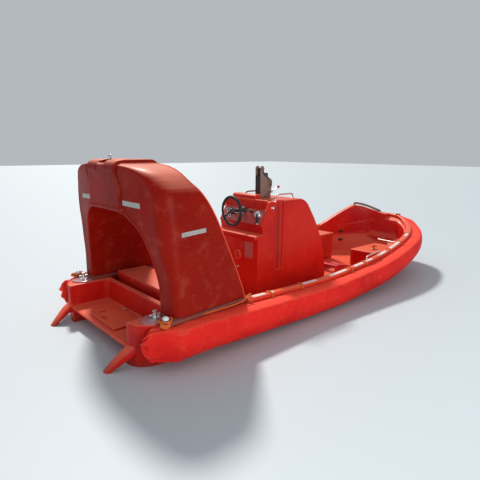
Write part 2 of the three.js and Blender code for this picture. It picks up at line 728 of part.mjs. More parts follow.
// Hinged cover over the jet inspection opening, with two grip slots
const HATCH = { aft: 62, front: 400, half: 292, thick: 22 };
function sternHatch() {
  const { aft, front, half, thick } = HATCH;
  const z = WELL.floor + GAP;
  const plate = raised([[aft, -half], [front, -half], [front, half], [aft, half]], z, z + thick);
  const slots = [[150, 236, 236, 262], [110, 140, 20, 110]].map(([x0, x1, y0, y1]) => (
    box(x0, x1, y0, y1, z + thick - 8, z + thick + 5)));
  return slots.reduce((whole, slot) => whole.subtract(slot), plate);
}

function hatchHinge(side) {
  const y = side * 190;
  const x = HATCH.front + 11;
  const z = WELL.floor;
  const barrel = rod([x, y - 34, z + 13], [x, y + 34, z + 13], 8, 12);
  return barrel.add(box(x - 3, x + 37, y - 34, y + 34, z + GAP, z + 8));
}

// Blade that runs aft, inboard and down from each lower quarter, past the waterline, and shields the jet
const GUARD = [
  { x: 110, inner: 690, outer: 835, top: 205, foot: 130 },
  { x: 20, inner: 685, outer: 835, top: 215, foot: 115 },
  { x: -60, inner: 680, outer: 815, top: 165, foot: 75 },
  { x: -140, inner: 668, outer: 785, top: 95, foot: 28 },
  { x: -210, inner: 660, outer: 755, top: 30, foot: -28 },
  { x: -270, inner: 668, outer: 738, top: -30, foot: -68 },
  { x: -300, inner: 680, outer: 722, top: -58, foot: -82 },
];
function jetGuard(side) {
  const rings = GUARD.map(({ x, inner, outer, top, foot }) => {
    const ring = [];
    for (let k = 0; k < 14; k += 1) {
      const turn = (k / 14) * 2 * Math.PI;
      const squared = (value) => Math.sign(value) * Math.abs(value) ** 0.6;
      const [c, n] = [Math.cos(turn), Math.sin(turn)].map(squared);
      const y = (inner + outer) / 2 + ((outer - inner) / 2) * c;
      ring.push(new THREE.Vector3(x, side * y, (top + foot) / 2 + ((top - foot) / 2) * n));
    }
    return ring;
  });
  const hull = hullShell();
  return loft(rings).subtract(hull.translate([-GAP, 0, 0])).subtract(hull.translate([0, side * GAP, 0]));
}

// A turned body about a level axis that runs aft from x: outline as [radius, distance aft]
function turnedAft(outline, sides, x, z) {
  const geometry = new THREE.LatheGeometry(outline.map(([r, h]) => new THREE.Vector2(r, h)), sides);
  return solidOf(geometry.rotateZ(Math.PI / 2).translate(x, 0, z));
}

// Water jet: fixed tailpipe on the transom with an ear above and below that hold the steering nozzle
const EAR = { inner: 138, outer: 152, half: 22, aft: -186 };
function jetTailpipe() {
  const outline = [[72, 0], [150, 0], [150, 18], [112, 24], [92, 84], [86, 148], [70, 148], [72, 0]];
  const ears = [1, -1].map((end) => {
    const [low, high] = [EAR.inner * end, EAR.outer * end].sort((a, b) => a - b);
    return box(EAR.aft, -4, -EAR.half, EAR.half, JET.z + low, JET.z + high);
  });
  return union(turnedAft(outline, 24, -GAP, JET.z), ...ears);
}

const BUCKET = { x: -262, z: JET.z + 40, inner: 138, outer: 148, pin: 13 };
function steeringNozzle() {
  const outline = [[118, 0], [131, 0], [131, 60], [98, 190], [86, 190], [118, 60], [118, 0]];
  const bosses = [1, -1].map((end) => (
    rod([JET.steerX, 0, JET.z + end * 124], [JET.steerX, 0, JET.z + end * (EAR.inner - GAP)], 14, 12)));
  const trunnions = [1, -1].map((side) => (
    rod([BUCKET.x, side * 102, BUCKET.z], [BUCKET.x, side * (BUCKET.outer + 4), BUCKET.z], BUCKET.pin, 12)));
  return union(turnedAft(outline, 24, -150, JET.z), ...bosses, ...trunnions);
}

// Reversing bucket: two cheeks on the nozzle's side pins and a hood that drops behind its mouth
function reverseBucket() {
  const { x, z, inner, outer, pin } = BUCKET;
  const cheekOutline = [
    [x + 26, z - 22], [x + 26, z + 26], [x - 40, z + 112], [x - 150, z + 120], [x - 172, z + 96],
    [x - 120, z + 56], [x - 30, z - 26],
  ];
  const cheeks = [1, -1].map((side) => (
    across(cheekOutline, side > 0 ? inner : -outer, side > 0 ? outer : -inner)
      .subtract(rod([x, side * (inner - 8), z], [x, side * (outer + 8), z], boreFor(pin), BORE_SIDES))));
  const hood = across([
    [x - 40, z + 100], [x - 40, z + 112], [x - 150, z + 120], [x - 172, z + 96], [x - 162, z + 92],
    [x - 146, z + 108],
  ], -inner - 4, inner + 4);
  return union(...cheeks, hood);
}

// Intake grille under the keel: bars along the flow on two cross bars
function intakeGrille() {
  const bars = [-84, -56, -28, 0, 28, 56, 84].map((y) => box(705, 1245, y - 5, y + 5, -362, -340));
  const cross = [[712, 736], [1214, 1238]].map(([x0, x1]) => box(x0, x1, -104, 104, -348, -325 - GAP));
  return union(...bars, ...cross);
}

// Grab rail that stands on the lip between two stations, its feet cut to the lip
function lipRail({ side, aftX, frontX, height, radius }) {
  const run = sidePath(LIP_START, GUNWALE);
  const wall = side > 0 ? BULWARK : SHEER;
  const spotAt = (x, lift) => {
    const k = Math.max(run.findIndex(({ spot }) => spot.x > x), 1);
    const [a, b] = [run[k - 1].spot, run[k].spot];
    const p = a.clone().lerp(b, (x - a.x) / (b.x - a.x));
    return [p.x, side * (p.y + 8), Math.max(p.z + LIP_HEIGHT, heightAt(wall, p.x)) + lift];
  };
  const span = frontX - aftX;
  const rail = bar([
    spotAt(aftX, -20), spotAt(aftX, height * 0.6), spotAt(aftX + span * 0.06, height),
    spotAt(aftX + span * 0.5, height), spotAt(frontX - span * 0.06, height), spotAt(frontX, height * 0.6),
    spotAt(frontX, -20),
  ], radius, 8, 36);
  const cut = rail.subtract(lipBody(GAP)).subtract(bulwarkBody(GAP));
  return cut.decompose().sort((a, b) => b.volume() - a.volume())[0];
}

// Grab rail across the bow, both ends let into the side walls
function bowRail() {
  const rail = bar([
    [5560, -110, 380], [5300, -110, 418], [5225, -130, 420], [5205, -300, 420], [5195, -480, 420],
    [5250, -520, 418], [5480, -620, 380],
  ], 14, 8, 32).intersect(cockpitSpace(GAP));
  return rail.decompose().sort((a, b) => b.volume() - a.volume())[0];
}

const FINISHES = {
  gelcoat: { color: '#d93a1e', roughness: 0.3, metalness: 0 },
  canopy: { color: '#c23a1f', roughness: 0.3, metalness: 0 },
  fender: { color: '#ee3d2b', roughness: 0.7, metalness: 0 },
  lip: { color: '#e8553a', roughness: 0.3, metalness: 0 },
  steel: { color: '#9aa0a4', roughness: 0.3, metalness: 0.9 },
  alloy: { color: '#9aa0a4', roughness: 0.5, metalness: 0.9 },
  black: { color: '#1b1c1e', roughness: 0.45, metalness: 0 },
  dash: { color: '#7d1412', roughness: 0.4, metalness: 0 },
  grey: { color: '#8d9094', roughness: 0.6, metalness: 0 },
  white: { color: '#e8e9ea', roughness: 0.3, metalness: 0 },
  orange: { color: '#e07a2a', roughness: 0.5, metalness: 0 },
  red: { color: '#c8202a', roughness: 0.4, metalness: 0 },
};

const boat = new THREE.Group();
boat.position.x = -MIDSHIPS;

function add(name, solid, finish) {
  const mesh = new THREE.Mesh(geometryOf(solid), new THREE.MeshStandardMaterial(FINISHES[finish]));
  mesh.name = name;
  boat.add(mesh);
}

// Each rail on the lip: its side, ends along the boat, height, thickness and finish
const LIP_RAILS = [
  { name: 'starboard', side: -1, aftX: 3520, frontX: 3840, height: 52, radius: 11, finish: 'steel' },
  { name: 'port', side: 1, aftX: 5430, frontX: 5740, height: 34, radius: 20, finish: 'grey' },
];
const CASING_RAIL = { aft: 2385, front: 2690, y: 300, height: 62 };

for (const [name, solid] of Object.entries(hullPieces())) add(name, solid, 'gelcoat');
add('gunwale_lip', lipBody().add(bulwarkBody()), 'lip');
add('fender_collar', collarBody(), 'fender');
add('canopy', canopyBody(), 'canopy');
add('arch_ring', archRing(), 'black');
add('aft_bench', benchBody(), 'gelcoat');
add('console', consoleBody(), 'gelcoat');
add('engine_casing', casingBody(), 'gelcoat');
add('engine_block', box(2420, 3020, -300, 300, SOLE + GAP, 880), 'grey');
add('dash_panel', dashPanelBody(), 'dash');
add('steering_wheel', steeringWheel(), 'black');
add('throttle', throttleBody(), 'black');
add('console_vent', ventBody(), 'gelcoat');
add('hook_pedestal', hookPedestal(), 'gelcoat');
add('hook_frame', hookFrame(), 'steel');
add('hook_jaw', hookJaw(), 'steel');
add('release_lever', releaseLever(), 'red');
add('seat_locker', seatLocker(), 'gelcoat');
add('stretcher', stretcherBody(), 'red');
add('bow_locker', bowLocker(), 'gelcoat');
add('painter_release', painterRelease(), 'orange');
add('bow_rail', bowRail(), 'steel');
add('stern_hatch', sternHatch(), 'gelcoat');
add('jet_tailpipe', jetTailpipe(), 'alloy');
add('steering_nozzle', steeringNozzle(), 'alloy');
add('reverse_bucket', reverseBucket(), 'alloy');
add('intake_grille', intakeGrille(), 'steel');
LIP_RAILS.forEach((rail) => add(`lip_rail_${rail.name}`, lipRail(rail), rail.finish));
for (const [name, side] of [['port', 1], ['starboard', -1]]) {
  const { aft, front, y, height } = CASING_RAIL;
  const [from, to] = [aft, front].map((x) => [x, side * y, CASING.top + GAP]);
  add(`casing_rail_${name}`, standingRail(from, to, height), 'steel');
  add(`hatch_hinge_${name}`, hatchHinge(side), 'steel');
  add(`canopy_flange_${name}`, canopyFlange(side), 'canopy');
  add(`stern_bollard_${name}`, bollard(side), 'steel');
  add(`quarter_light_${name}`, quarterLight(side), 'white');
  add(`jet_guard_${name}`, jetGuard(side), 'gelcoat');
}

export default boat;
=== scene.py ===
"""Looks of an open rescue boat with a water jet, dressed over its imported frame.

Every sub-assembly is a class that keeps its sizes, builds its meshes and dresses them.
Lengths along the boat are stations in metres, counted forward from the transom, and a
piece is set back by MIDSHIPS when it joins the scene. GAP keeps two faces apart, and WIDE
is a half breadth beyond the boat's own, for forms that cut right through it.
"""

import logging
from dataclasses import dataclass
from enum import Enum
from math import copysign, cos, exp, pi, radians, sin, sqrt
from typing import Callable, Iterable, Optional, Sequence, Union

import bmesh
import bpy
import numpy as np
from mathutils import Matrix, Vector, noise


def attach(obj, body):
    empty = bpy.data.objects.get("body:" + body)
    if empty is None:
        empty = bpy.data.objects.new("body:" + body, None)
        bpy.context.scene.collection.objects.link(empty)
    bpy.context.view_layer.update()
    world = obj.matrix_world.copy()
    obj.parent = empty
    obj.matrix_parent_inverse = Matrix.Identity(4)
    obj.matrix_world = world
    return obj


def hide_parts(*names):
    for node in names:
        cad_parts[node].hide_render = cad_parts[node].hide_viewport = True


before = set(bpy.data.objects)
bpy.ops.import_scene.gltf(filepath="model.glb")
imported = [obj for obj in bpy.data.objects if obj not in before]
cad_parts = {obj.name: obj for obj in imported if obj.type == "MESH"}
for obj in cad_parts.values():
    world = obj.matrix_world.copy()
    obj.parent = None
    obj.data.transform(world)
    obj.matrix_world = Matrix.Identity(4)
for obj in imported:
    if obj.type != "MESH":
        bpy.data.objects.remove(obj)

MIDSHIPS = 2.9
GAP = 0.0003
TURN = 2 * pi
QUARTER = pi / 2
WIDE = 1.2
SIDES = (("port", 1), ("starboard", -1))

Pair = tuple[float, float]
Triple = tuple[float, float, float]
Table = tuple[tuple[float, ...], ...]
Point = Sequence[float]
Outline = Sequence[Point]
Value = Union["Signal", float, Sequence[float]]

log = logging.getLogger("boat")


class Crease(Enum):
    """How sharp an edge stays sharp in the shading, in degrees."""

    PLAIN = 38.0
    MOULDED = 60.0
    SOFT = 70.0
    ROUND = 80.0


# Shaders


class Signal:
    """An output socket of a material, with arithmetic that adds Math nodes."""

    def __init__(self, graph: "Graph", socket: bpy.types.NodeSocket) -> None:
        """Keeps the socket.

        Args:
            graph: the graph that the socket belongs to.
            socket: the output socket.
        """
        self.graph = graph
        self.socket = socket

    def _math(self, operation: str, other: Value, flipped: bool = False) -> "Signal":
        """Adds one Math node.

        Args:
            operation: the node's operation.
            other: the second operand.
            flipped: whether the operands change places.

        Returns:
            The node's output.
        """
        pair = (other, self) if flipped else (self, other)
        return self.graph.add("ShaderNodeMath", {"operation": operation}, {0: pair[0], 1: pair[1]})

    def __add__(self, other: Value) -> "Signal":
        """Sum."""
        return self._math("ADD", other)

    def __radd__(self, other: Value) -> "Signal":
        """Sum from the right."""
        return self._math("ADD", other)

    def __sub__(self, other: Value) -> "Signal":
        """Difference."""
        return self._math("SUBTRACT", other)

    def __rsub__(self, other: Value) -> "Signal":
        """Difference from the right."""
        return self._math("SUBTRACT", other, flipped=True)

    def __mul__(self, other: Value) -> "Signal":
        """Product."""
        return self._math("MULTIPLY", other)

    def __rmul__(self, other: Value) -> "Signal":
        """Product from the right."""
        return self._math("MULTIPLY", other)

    def wave(self) -> "Signal":
        """Sine."""
        return self._math("SINE", 0.0)

    def size(self) -> "Signal":
        """Absolute value."""
        return self._math("ABSOLUTE", 0.0)

    def least(self, other: Value) -> "Signal":
        """The smaller of the two."""
        return self._math("MINIMUM", other)

    def most(self, other: Value) -> "Signal":
        """The larger of the two."""
        return self._math("MAXIMUM", other)

    def between(self, low: float, high: float) -> "Signal":
        """A soft step from 0 at low to 1 at high.

        Args:
            low: where the step starts.
            high: where it ends.

        Returns:
            The stepped value.
        """
        settings = {"interpolation_type": "SMOOTHSTEP"}
        return self.graph.add("ShaderNodeMapRange", settings,
                              {"Value": self, "From Min": low, "From Max": high})


class Graph:
    """The nodes of one material round its Principled shader."""

    def __init__(self, name: str) -> None:
        """Makes the material.

        Args:
            name: the material's name.
        """
        self.material = bpy.data.materials.new(name)
        self.material.use_nodes = True
        self.tree = self.material.node_tree
        self.shader = self.tree.nodes["Principled BSDF"]

    def add(self, kind: str, settings: Optional[dict] = None, inputs: Optional[dict] = None,
            output: Union[int, str] = 0) -> Signal:
        """Adds a node.

        Args:
            kind: the node's type.
            settings: its properties, set first.
            inputs: values or signals by socket name or number.
            output: the output socket that is wanted.

        Returns:
            That output.
        """
        node = self.tree.nodes.new(kind)
        for key, value in (settings or {}).items():
            setattr(node, key, value)
        for key, value in (inputs or {}).items():
            self.feed(node.inputs[key], value)
        return Signal(self, node.outputs[output])

    def feed(self, socket: bpy.types.NodeSocket, value: Value) -> None:
        """Links or sets a socket.

        Args:
            socket: the input socket.
            value: a signal, a number or a colour.
        """
        if isinstance(value, Signal):
            self.tree.links.new(value.socket, socket)
        elif isinstance(value, (tuple, list)) and socket.type == "RGBA" and len(value) == 3:
            socket.default_value = (*value, 1.0)
        else:
            socket.default_value = value

    def spot(self) -> Signal:
        """The place on the piece, in metres."""
        return self.add("ShaderNodeTexCoord", output="Object")

    def strip(self) -> Signal:
        """The place along and round a swept piece, in metres."""
        return self.add("ShaderNodeUVMap", {"uv_map": "sweep"})

    def axes(self, place: Signal) -> tuple[Signal, Signal, Signal]:
        """Splits a place.

        Args:
            place: the vector.

        Returns:
            Its three parts.
        """
        first = self.add("ShaderNodeSeparateXYZ", inputs={0: place})
        node = first.socket.node
        return tuple(Signal(self, node.outputs[k]) for k in range(3))

    def grain(self, place: Signal, scale: float, detail: float = 3.0, stretch: Point = (1, 1, 1),
              rough: float = 0.5) -> Signal:
        """Noise.

        Args:
            place: where it is read.
            scale: how fine it is.
            detail: its octaves.
            stretch: a factor for each axis.
            rough: how strong the fine octaves are.

        Returns:
            A value about 0.5.
        """
        if tuple(stretch) != (1, 1, 1):
            place = self.add("ShaderNodeVectorMath", {"operation": "MULTIPLY"}, {0: place, 1: tuple(stretch)})
        inputs = {"Vector": place, "Scale": scale, "Detail": detail, "Roughness": rough}
        return self.add("ShaderNodeTexNoise", inputs=inputs)

    def cells(self, place: Signal, scale: float) -> Signal:
        """Distance to the nearest cell's middle.

        Args:
            place: where it is read.
            scale: how fine the cells are.

        Returns:
            The distance.
        """
        return self.add("ShaderNodeTexVoronoi", inputs={"Vector": place, "Scale": scale})

    def blend(self, low: Value, high: Value, factor: Value) -> Signal:
        """Mixes two colours.

        Args:
            low: the colour at 0.
            high: the colour at 1.
            factor: the share of the second.

        Returns:
            The mixed colour.
        """
        return self.add("ShaderNodeMix", {"data_type": "RGBA"}, {0: factor, 6: low, 7: high}, output=2)

    def upward(self) -> Signal:
        """Where a piece faces up."""
        return self.axes(self.add("ShaderNodeTexCoord", output="Normal"))[2].between(0.35, 0.98)

    def edges(self, low: float = 0.52, high: float = 0.6) -> Signal:
        """Where the mesh has outer edges.

        Args:
            low: where the mask starts.
            high: where it is full.

        Returns:
            A mask.
        """
        return self.add("ShaderNodeNewGeometry", output="Pointiness").between(low, high)

    def bump(self, height: Signal, depth: float, strength: float = 1.0,
             under: Optional[Signal] = None) -> Signal:
        """Bump from a height.

        Args:
            height: the height from 0 to 1.
            depth: what a height of 1 is in metres.
            strength: the node's strength.
            under: an earlier bump.

        Returns:
            The normal.
        """
        inputs = {"Height": height, "Distance": depth, "Strength": strength}
        if under is not None:
            inputs["Normal"] = under
        return self.add("ShaderNodeBump", inputs=inputs)

    def done(self, **sockets: Value) -> bpy.types.Material:
        """Sets the shader's sockets.

        Args:
            **sockets: values by socket name, with _ for a space.

        Returns:
            The material.
        """
        for name, value in sockets.items():
            self.feed(self.shader.inputs[name.replace("_", " ")], value)
        return self.material


# Finishes


@dataclass(frozen=True)
class Coat:
    """What every finish has: its name and the record's material slot."""

    name: str
    slot: str


@dataclass(frozen=True)
class Gelcoat(Coat):
    """Glossy laminate: sprayed colour paled in patches, with a wavy skin, scattered scuffs, a painted
    highlight on outer edges and tops painted lighter as if sunlit.
    """

    colour: Point
    deep: Point
    faded_and_lit: Point
    gloss: float = 0.28
    waves: float = 0.0016
    painted_top_light: float = 0.5
    shine: float = 0.13
    broad: float = 1.3
    cloud: float = 7.0
    run: float = 11.0
    scuff: float = 60.0
    peel: Pair = (240.0, 0.0001)
    splashed: Pair = (0.02, 0.11)
    slime: Point = (0.08, 0.035, 0.02)

    def make(self) -> bpy.types.Material:
        """Makes the material.

        Returns:
            The material.
        """
        g = Graph(self.name)
        place = g.spot()
        _, _, height = g.axes(place)
        broad = g.grain(place, self.broad, 4.0)
        cloudy = g.grain(place, self.cloud, 5.0, rough=0.6)
        runs = g.grain(place, self.run, 4.0, stretch=(1.0, 1.0, 0.1))
        tone = g.blend(self.colour, self.deep, broad.between(0.36, 0.72))
        tone = g.blend(tone, self.faded_and_lit, cloudy.between(0.5, 0.8) * 0.13)
        tone = g.blend(tone, self.deep, runs.between(0.56, 0.8) * 0.3)
        # Painted light: faces that look up are painted towards the paler colour, as if sunlit.
        tone = g.blend(tone, self.faded_and_lit, g.upward() * self.painted_top_light)
        scuffs = g.grain(place, self.scuff, 4.0, stretch=(0.25, 1.0, 1.0)).between(0.62, 0.74)
        # Painted highlight on outer edges, mixed with real scuffs.
        tone = g.blend(tone, self.faded_and_lit, (g.edges() * 0.5).most(scuffs * 0.1))
        wet = (1.0 - height.between(*self.splashed)) * (cloudy + 0.25).least(1.0)
        tone = g.blend(tone, self.slime, wet * 0.5)
        rough = self.gloss + cloudy * 0.16 + scuffs * 0.12 - wet * 0.1
        fine, depth = self.peel
        skin = g.bump(g.grain(place, self.broad * 2, 2.0), self.waves * 6, 0.35)
        skin = g.bump(g.grain(place, fine, 2.0), depth, 0.3, skin)
        return g.done(Base_Color=tone, Roughness=rough, Normal=skin, Coat_Weight=self.shine * 0.4,
                      Coat_Roughness=0.12, Specular_IOR_Level=self.shine)


@dataclass(frozen=True)
class CoatedCloth(Coat):
    """Coated fender fabric: close weave, small creases, patches pale from rubbing, a painted highlight on
    outer edges and tops, and painted shade in hollow creases.
    """

    colour: Point
    deep: Point
    rubbed_and_lit: Point
    broad: float = 2.2
    cloud: float = 13.0
    crease: float = 9.0
    threads: float = 2100.0

    def make(self) -> bpy.types.Material:
        """Makes the material.

        Returns:
            The material.
        """
        g = Graph(self.name)
        place = g.spot()
        along, round_, _ = g.axes(g.strip())
        broad = g.grain(place, self.broad, 4.0)
        cloudy = g.grain(place, self.cloud, 5.0, rough=0.62)
        weave = (along * self.threads).wave() * (round_ * self.threads).wave()
        tone = g.blend(self.colour, self.deep, broad.between(0.4, 0.75) * 0.7)
        tone = g.blend(tone, self.rubbed_and_lit, cloudy.between(0.5, 0.8) * 0.4)
        # Painted highlight on outer edges, then painted shade in hollows and creases.
        tone = g.blend(tone, self.rubbed_and_lit, g.edges(0.51, 0.56) * 0.45)
        tone = g.blend(tone, self.deep, g.edges(0.492, 0.455) * 0.8)
        tone = g.blend(tone, self.deep, weave.between(-0.2, -1.0) * 0.25)
        lines = (g.grain(place, self.crease, 3.0, stretch=(1.0, 1.0, 0.6)) - 0.5).size()
        creases = 1.0 - lines * 9.0
        # Painted light: faces that look up are painted paler, as if sunlit.
        tone = g.blend(tone, self.rubbed_and_lit, g.upward() * 0.55)
        skin = g.bump(creases.most(0.0) * cloudy, 0.0045, 0.6)
        skin = g.bump(weave, 0.00025, 0.5, skin)
        rough = 0.55 + cloudy * 0.22
        return g.done(Base_Color=tone, Roughness=rough, Normal=skin, Specular_IOR_Level=0.14)


@dataclass(frozen=True)
class ReflectingTape(Coat):
    """Retroreflecting tape: pale beads in small cells, dulled towards its rims."""

    colour: Point
    dull: Point
    cell: float = 190.0
    cloud: float = 24.0

    def make(self) -> bpy.types.Material:
        """Makes the material.

        Returns:
            The material.
        """
        g = Graph(self.name)
        place = g.spot()
        cell = g.cells(place, self.cell)
        cloudy = g.grain(place, self.cloud, 4.0)
        tone = g.blend(self.colour, self.dull, cell.between(0.4, 0.62) * 0.6)
        tone = g.blend(tone, self.dull, cloudy.between(0.5, 0.75) * 0.55)
        skin = g.bump(cell, 0.0002, 0.5)
        return g.done(Base_Color=tone, Roughness=0.32 + cloudy * 0.2, Normal=skin, Metallic=0.15)


@dataclass(frozen=True)
class Metal(Coat):
    """Bare metal with drawn scratches, smudges and brown tea stains."""

    colour: Point
    stain: Point
    gloss: float = 0.2
    drawn: Point = (0.06, 1.0, 1.0)
    smudge: float = 16.0
    scratch: float = 420.0

    def make(self) -> bpy.types.Material:
        """Makes the material.

        Returns:
            The material.
        """
        g = Graph(self.name)
        place = g.spot()
        smudge = g.grain(place, self.smudge, 4.0)
        lines = g.grain(place, self.scratch, 3.0, stretch=self.drawn)
        tone = g.blend(self.colour, self.stain, smudge.between(0.52, 0.78) * 0.65)
        skin = g.bump(lines, 0.0001, 0.4)
        rough = self.gloss + smudge * 0.22 + lines * 0.08
        return g.done(Base_Color=tone, Roughness=rough, Metallic=1.0, Normal=skin)


@dataclass(frozen=True)
class Plastic(Coat):
    """Moulded plastic with a fine grain, dusty patches and outer edges painted paler as a highlight."""

    colour: Point
    dust_and_edge_light: Point
    gloss: float = 0.42
    depth: float = 0.0002
    fine: float = 520.0
    cloud: float = 19.0

    def make(self) -> bpy.types.Material:
        """Makes the material.

        Returns:
            The material.
        """
        g = Graph(self.name)
        place = g.spot()
        fine = g.grain(place, self.fine, 2.0)
        cloudy = g.grain(place, self.cloud, 4.0)
        tone = g.blend(self.colour, self.dust_and_edge_light, cloudy.between(0.48, 0.8) * 0.32)
        # Painted highlight: outer edges painted paler.
        tone = g.blend(tone, self.dust_and_edge_light, g.edges() * 0.4)
        skin = g.bump(fine, self.depth, 0.5)
        return g.done(Base_Color=tone, Roughness=self.gloss + cloudy * 0.16, Normal=skin)


@dataclass(frozen=True)
class LaidRope(Coat):
    """Laid rope: three strands that wind round it, fluffed, with painted shade between them."""

    colour: Point
    groove: Point
    pitch: float = 0.03
    strands: int = 3
    fibre: float = 300.0

    def make(self) -> bpy.types.Material:
        """Makes the material.

        Returns:
            The material.
        """
        g = Graph(self.name)
        along, turn, _ = g.axes(g.strip())
        winding = along * (TURN / self.pitch) + turn * (TURN * self.strands)
        strands = (winding.wave() + 1.0) * 0.5
        fibres = g.grain(g.spot(), self.fibre, 3.0)
        # Painted shade in the grooves between the strands, and darker fibre flecks.
        tone = g.blend(self.groove, self.colour, strands.between(0.1, 0.55))
        tone = g.blend(tone, self.groove, fibres.between(0.5, 0.8) * 0.4)
        skin = g.bump(fibres, 0.0003, 0.5, g.bump(strands, 0.0015, 0.8))
        return g.done(Base_Color=tone, Roughness=0.8, Normal=skin)


@dataclass(frozen=True)
class LampDome(Coat):
    """Milky lamp dome, ribbed inside."""

    colour: Point
    ribbed: Point
    ribs: float = 1400.0
    cloud: float = 60.0

    def make(self) -> bpy.types.Material:
        """Makes the material.

        Returns:
            The material.
        """
        g = Graph(self.name)
        place = g.spot()
        _, _, height = g.axes(place)
        ribs = (height * self.ribs).wave() * 0.5 + 0.5
        cloudy = g.grain(place, self.cloud, 3.0)
        tone = g.blend(self.colour, self.ribbed, ribs * 0.3 + cloudy * 0.15)
        skin = g.bump(ribs, 0.0004, 0.5)
        return g.done(Base_Color=tone, Roughness=0.12 + cloudy * 0.1, Normal=skin, Coat_Weight=0.6)


@dataclass(frozen=True)
class PaintedIron(Coat):
    """Cast iron under grey paint, oily in patches."""

    colour: Point
    oil: Point
    pit: float = 180.0
    cloud: float = 8.0

    def make(self) -> bpy.types.Material:
        """Makes the material.

        Returns:
            The material.
        """
        g = Graph(self.name)
        place = g.spot()
        pits = g.grain(place, self.pit, 4.0)
        cloudy = g.grain(place, self.cloud, 5.0)
        tone = g.blend(self.colour, self.oil, cloudy.between(0.45, 0.75))
        skin = g.bump(pits, 0.0008, 0.6)
        return g.done(Base_Color=tone, Roughness=0.65 - cloudy * 0.2, Normal=skin, Metallic=0.2)


class Finish(Enum):
    """The finishes of the boat by the piece that wears them."""

    HULL = Gelcoat("hull_gelcoat", "hull_gelcoat", (0.64, 0.015, 0.007), (0.46, 0.006, 0.007),
                   (0.92, 0.19, 0.1), painted_top_light=0.62)
    CANOPY = Gelcoat("canopy_gelcoat", "canopy_gelcoat", (0.305, 0.008, 0.002), (0.22, 0.005, 0.002),
                     (0.86, 0.27, 0.18), 0.34, 0.0022, 0.8, 0.07)
    # Painted reflection: the canopy's foot is canopy gelcoat tinted grey-brown, as if mirroring the sea.
    FLANGE = Gelcoat("flange_gelcoat", "canopy_gelcoat", (0.26, 0.06, 0.045), (0.18, 0.03, 0.022),
                     (0.36, 0.15, 0.125), 0.3, 0.0006, 0.4)
    # Painted reflection: the quarter pads are hull gelcoat tinted lilac, as sky mirrored in their glossy
    # tops.
    PAD = Gelcoat("pad_gelcoat", "hull_gelcoat", (0.44, 0.11, 0.13), (0.34, 0.06, 0.075),
                  (0.56, 0.3, 0.34), 0.12, 0.001, 0.7, 0.6)
    # Painted shade: a darker copy of the hull gelcoat for the strips laid in the casing's grooves.
    GROOVE = Gelcoat("groove_gelcoat", "hull_gelcoat", (0.33, 0.008, 0.005), (0.25, 0.005, 0.004),
                     (0.5, 0.03, 0.02), painted_top_light=0.1)
    LIP = Gelcoat("lip_gelcoat", "lip_gelcoat", (0.76, 0.05, 0.018), (0.58, 0.025, 0.01),
                  (0.88, 0.2, 0.1), 0.26, 0.0006)
    FENDER = CoatedCloth("fender_cloth", "fender_fabric", (0.86, 0.02, 0.014),
                         (0.56, 0.006, 0.007), (0.95, 0.1, 0.055))
    # One retroreflecting tape in two copies: the lip's is painted pale as lit tape, the canopy's painted grey
    # as shaded tape.
    TAPE = ReflectingTape("lip_tape", "lip_gelcoat", (0.84, 0.72, 0.7), (0.66, 0.5, 0.48))
    SHADED_TAPE = ReflectingTape("canopy_tape", "", (0.46, 0.45, 0.43), (0.3, 0.28, 0.26))
    STEEL = Metal("stainless", "steel", (0.66, 0.67, 0.68), (0.4, 0.33, 0.28))
    ALLOY = Metal("jet_alloy", "jet_alloy", (0.5, 0.51, 0.52), (0.3, 0.3, 0.28), 0.38, (1.0, 1.0, 0.1))
    BLACK = Plastic("black_plastic", "black_plastic", (0.012, 0.012, 0.013), (0.06, 0.058, 0.055))
    DASH = Plastic("dash_panel", "dash_panel", (0.42, 0.05, 0.05), (0.5, 0.16, 0.14), 0.3)
    # Painted reflection: the steel is tinted warm pink, as if mirroring the orange boat.
    RAIL = Metal("warm_rail", "steel", (0.74, 0.5, 0.42), (0.42, 0.22, 0.16), 0.3)
    # Grey-brown plastic; on the port casing rail it stands in for the rail's steel as a painted shaded copy.
    GREY = Plastic("grey_plastic", "grey_plastic", (0.2, 0.14, 0.11), (0.42, 0.34, 0.28), 0.55)
    RED = Plastic("red_plastic", "red_plastic", (0.55, 0.012, 0.02), (0.7, 0.1, 0.08), 0.3)
    ORANGE = Plastic("orange_plastic", "orange_plastic", (0.62, 0.12, 0.018), (0.45, 0.2, 0.08), 0.45)
    DIAL = Plastic("dial_face", "black_plastic", (0.02, 0.02, 0.022), (0.3, 0.3, 0.3), 0.2)
    ROPE = LaidRope("orange_rope", "", (0.82, 0.17, 0.025), (0.42, 0.055, 0.012))
    TWINE = LaidRope("tan_twine", "", (0.84, 0.2, 0.05), (0.45, 0.08, 0.02), 0.012)
    DOME = LampDome("lamp_dome", "lamp_dome", (0.86, 0.87, 0.88), (0.45, 0.47, 0.48))
    IRON = PaintedIron("engine_iron", "engine_iron", (0.25, 0.26, 0.27), (0.05, 0.045, 0.04))
    HOOK = PaintedIron("hook_plate", "steel", (0.25, 0.165, 0.135), (0.11, 0.065, 0.05))
    DARK_IRON = PaintedIron("dark_iron", "steel", (0.03, 0.024, 0.022), (0.012, 0.01, 0.009))


MATERIALS: dict[Finish, bpy.types.Material] = {}


def material_of(finish: Finish) -> bpy.types.Material:
    """The material of a finish, made once.

    Args:
        finish: the finish.

    Returns:
        Its material.
    """
    if finish not in MATERIALS:
        MATERIALS[finish] = finish.value.make()
    return MATERIALS[finish]


# Forms


def put(name: str, data: bpy.types.ID) -> bpy.types.Object:
    """Puts an object into the scene.

    Args:
        name: its name.
        data: its mesh, lamp or camera.

    Returns:
        The object.
    """
    made = bpy.data.objects.new(name, data)
    bpy.context.scene.collection.objects.link(made)
    return made


def clamp(value: float) -> float:
    """The value held between 0 and 1."""
    return min(max(value, 0), 1)


def raised(height: float) -> Vector:
    """A step straight up."""
    return Vector((0, 0, height))


def angles(count: int) -> list[float]:
    """Even angles once round."""
    return [TURN * k / count for k in range(count)]


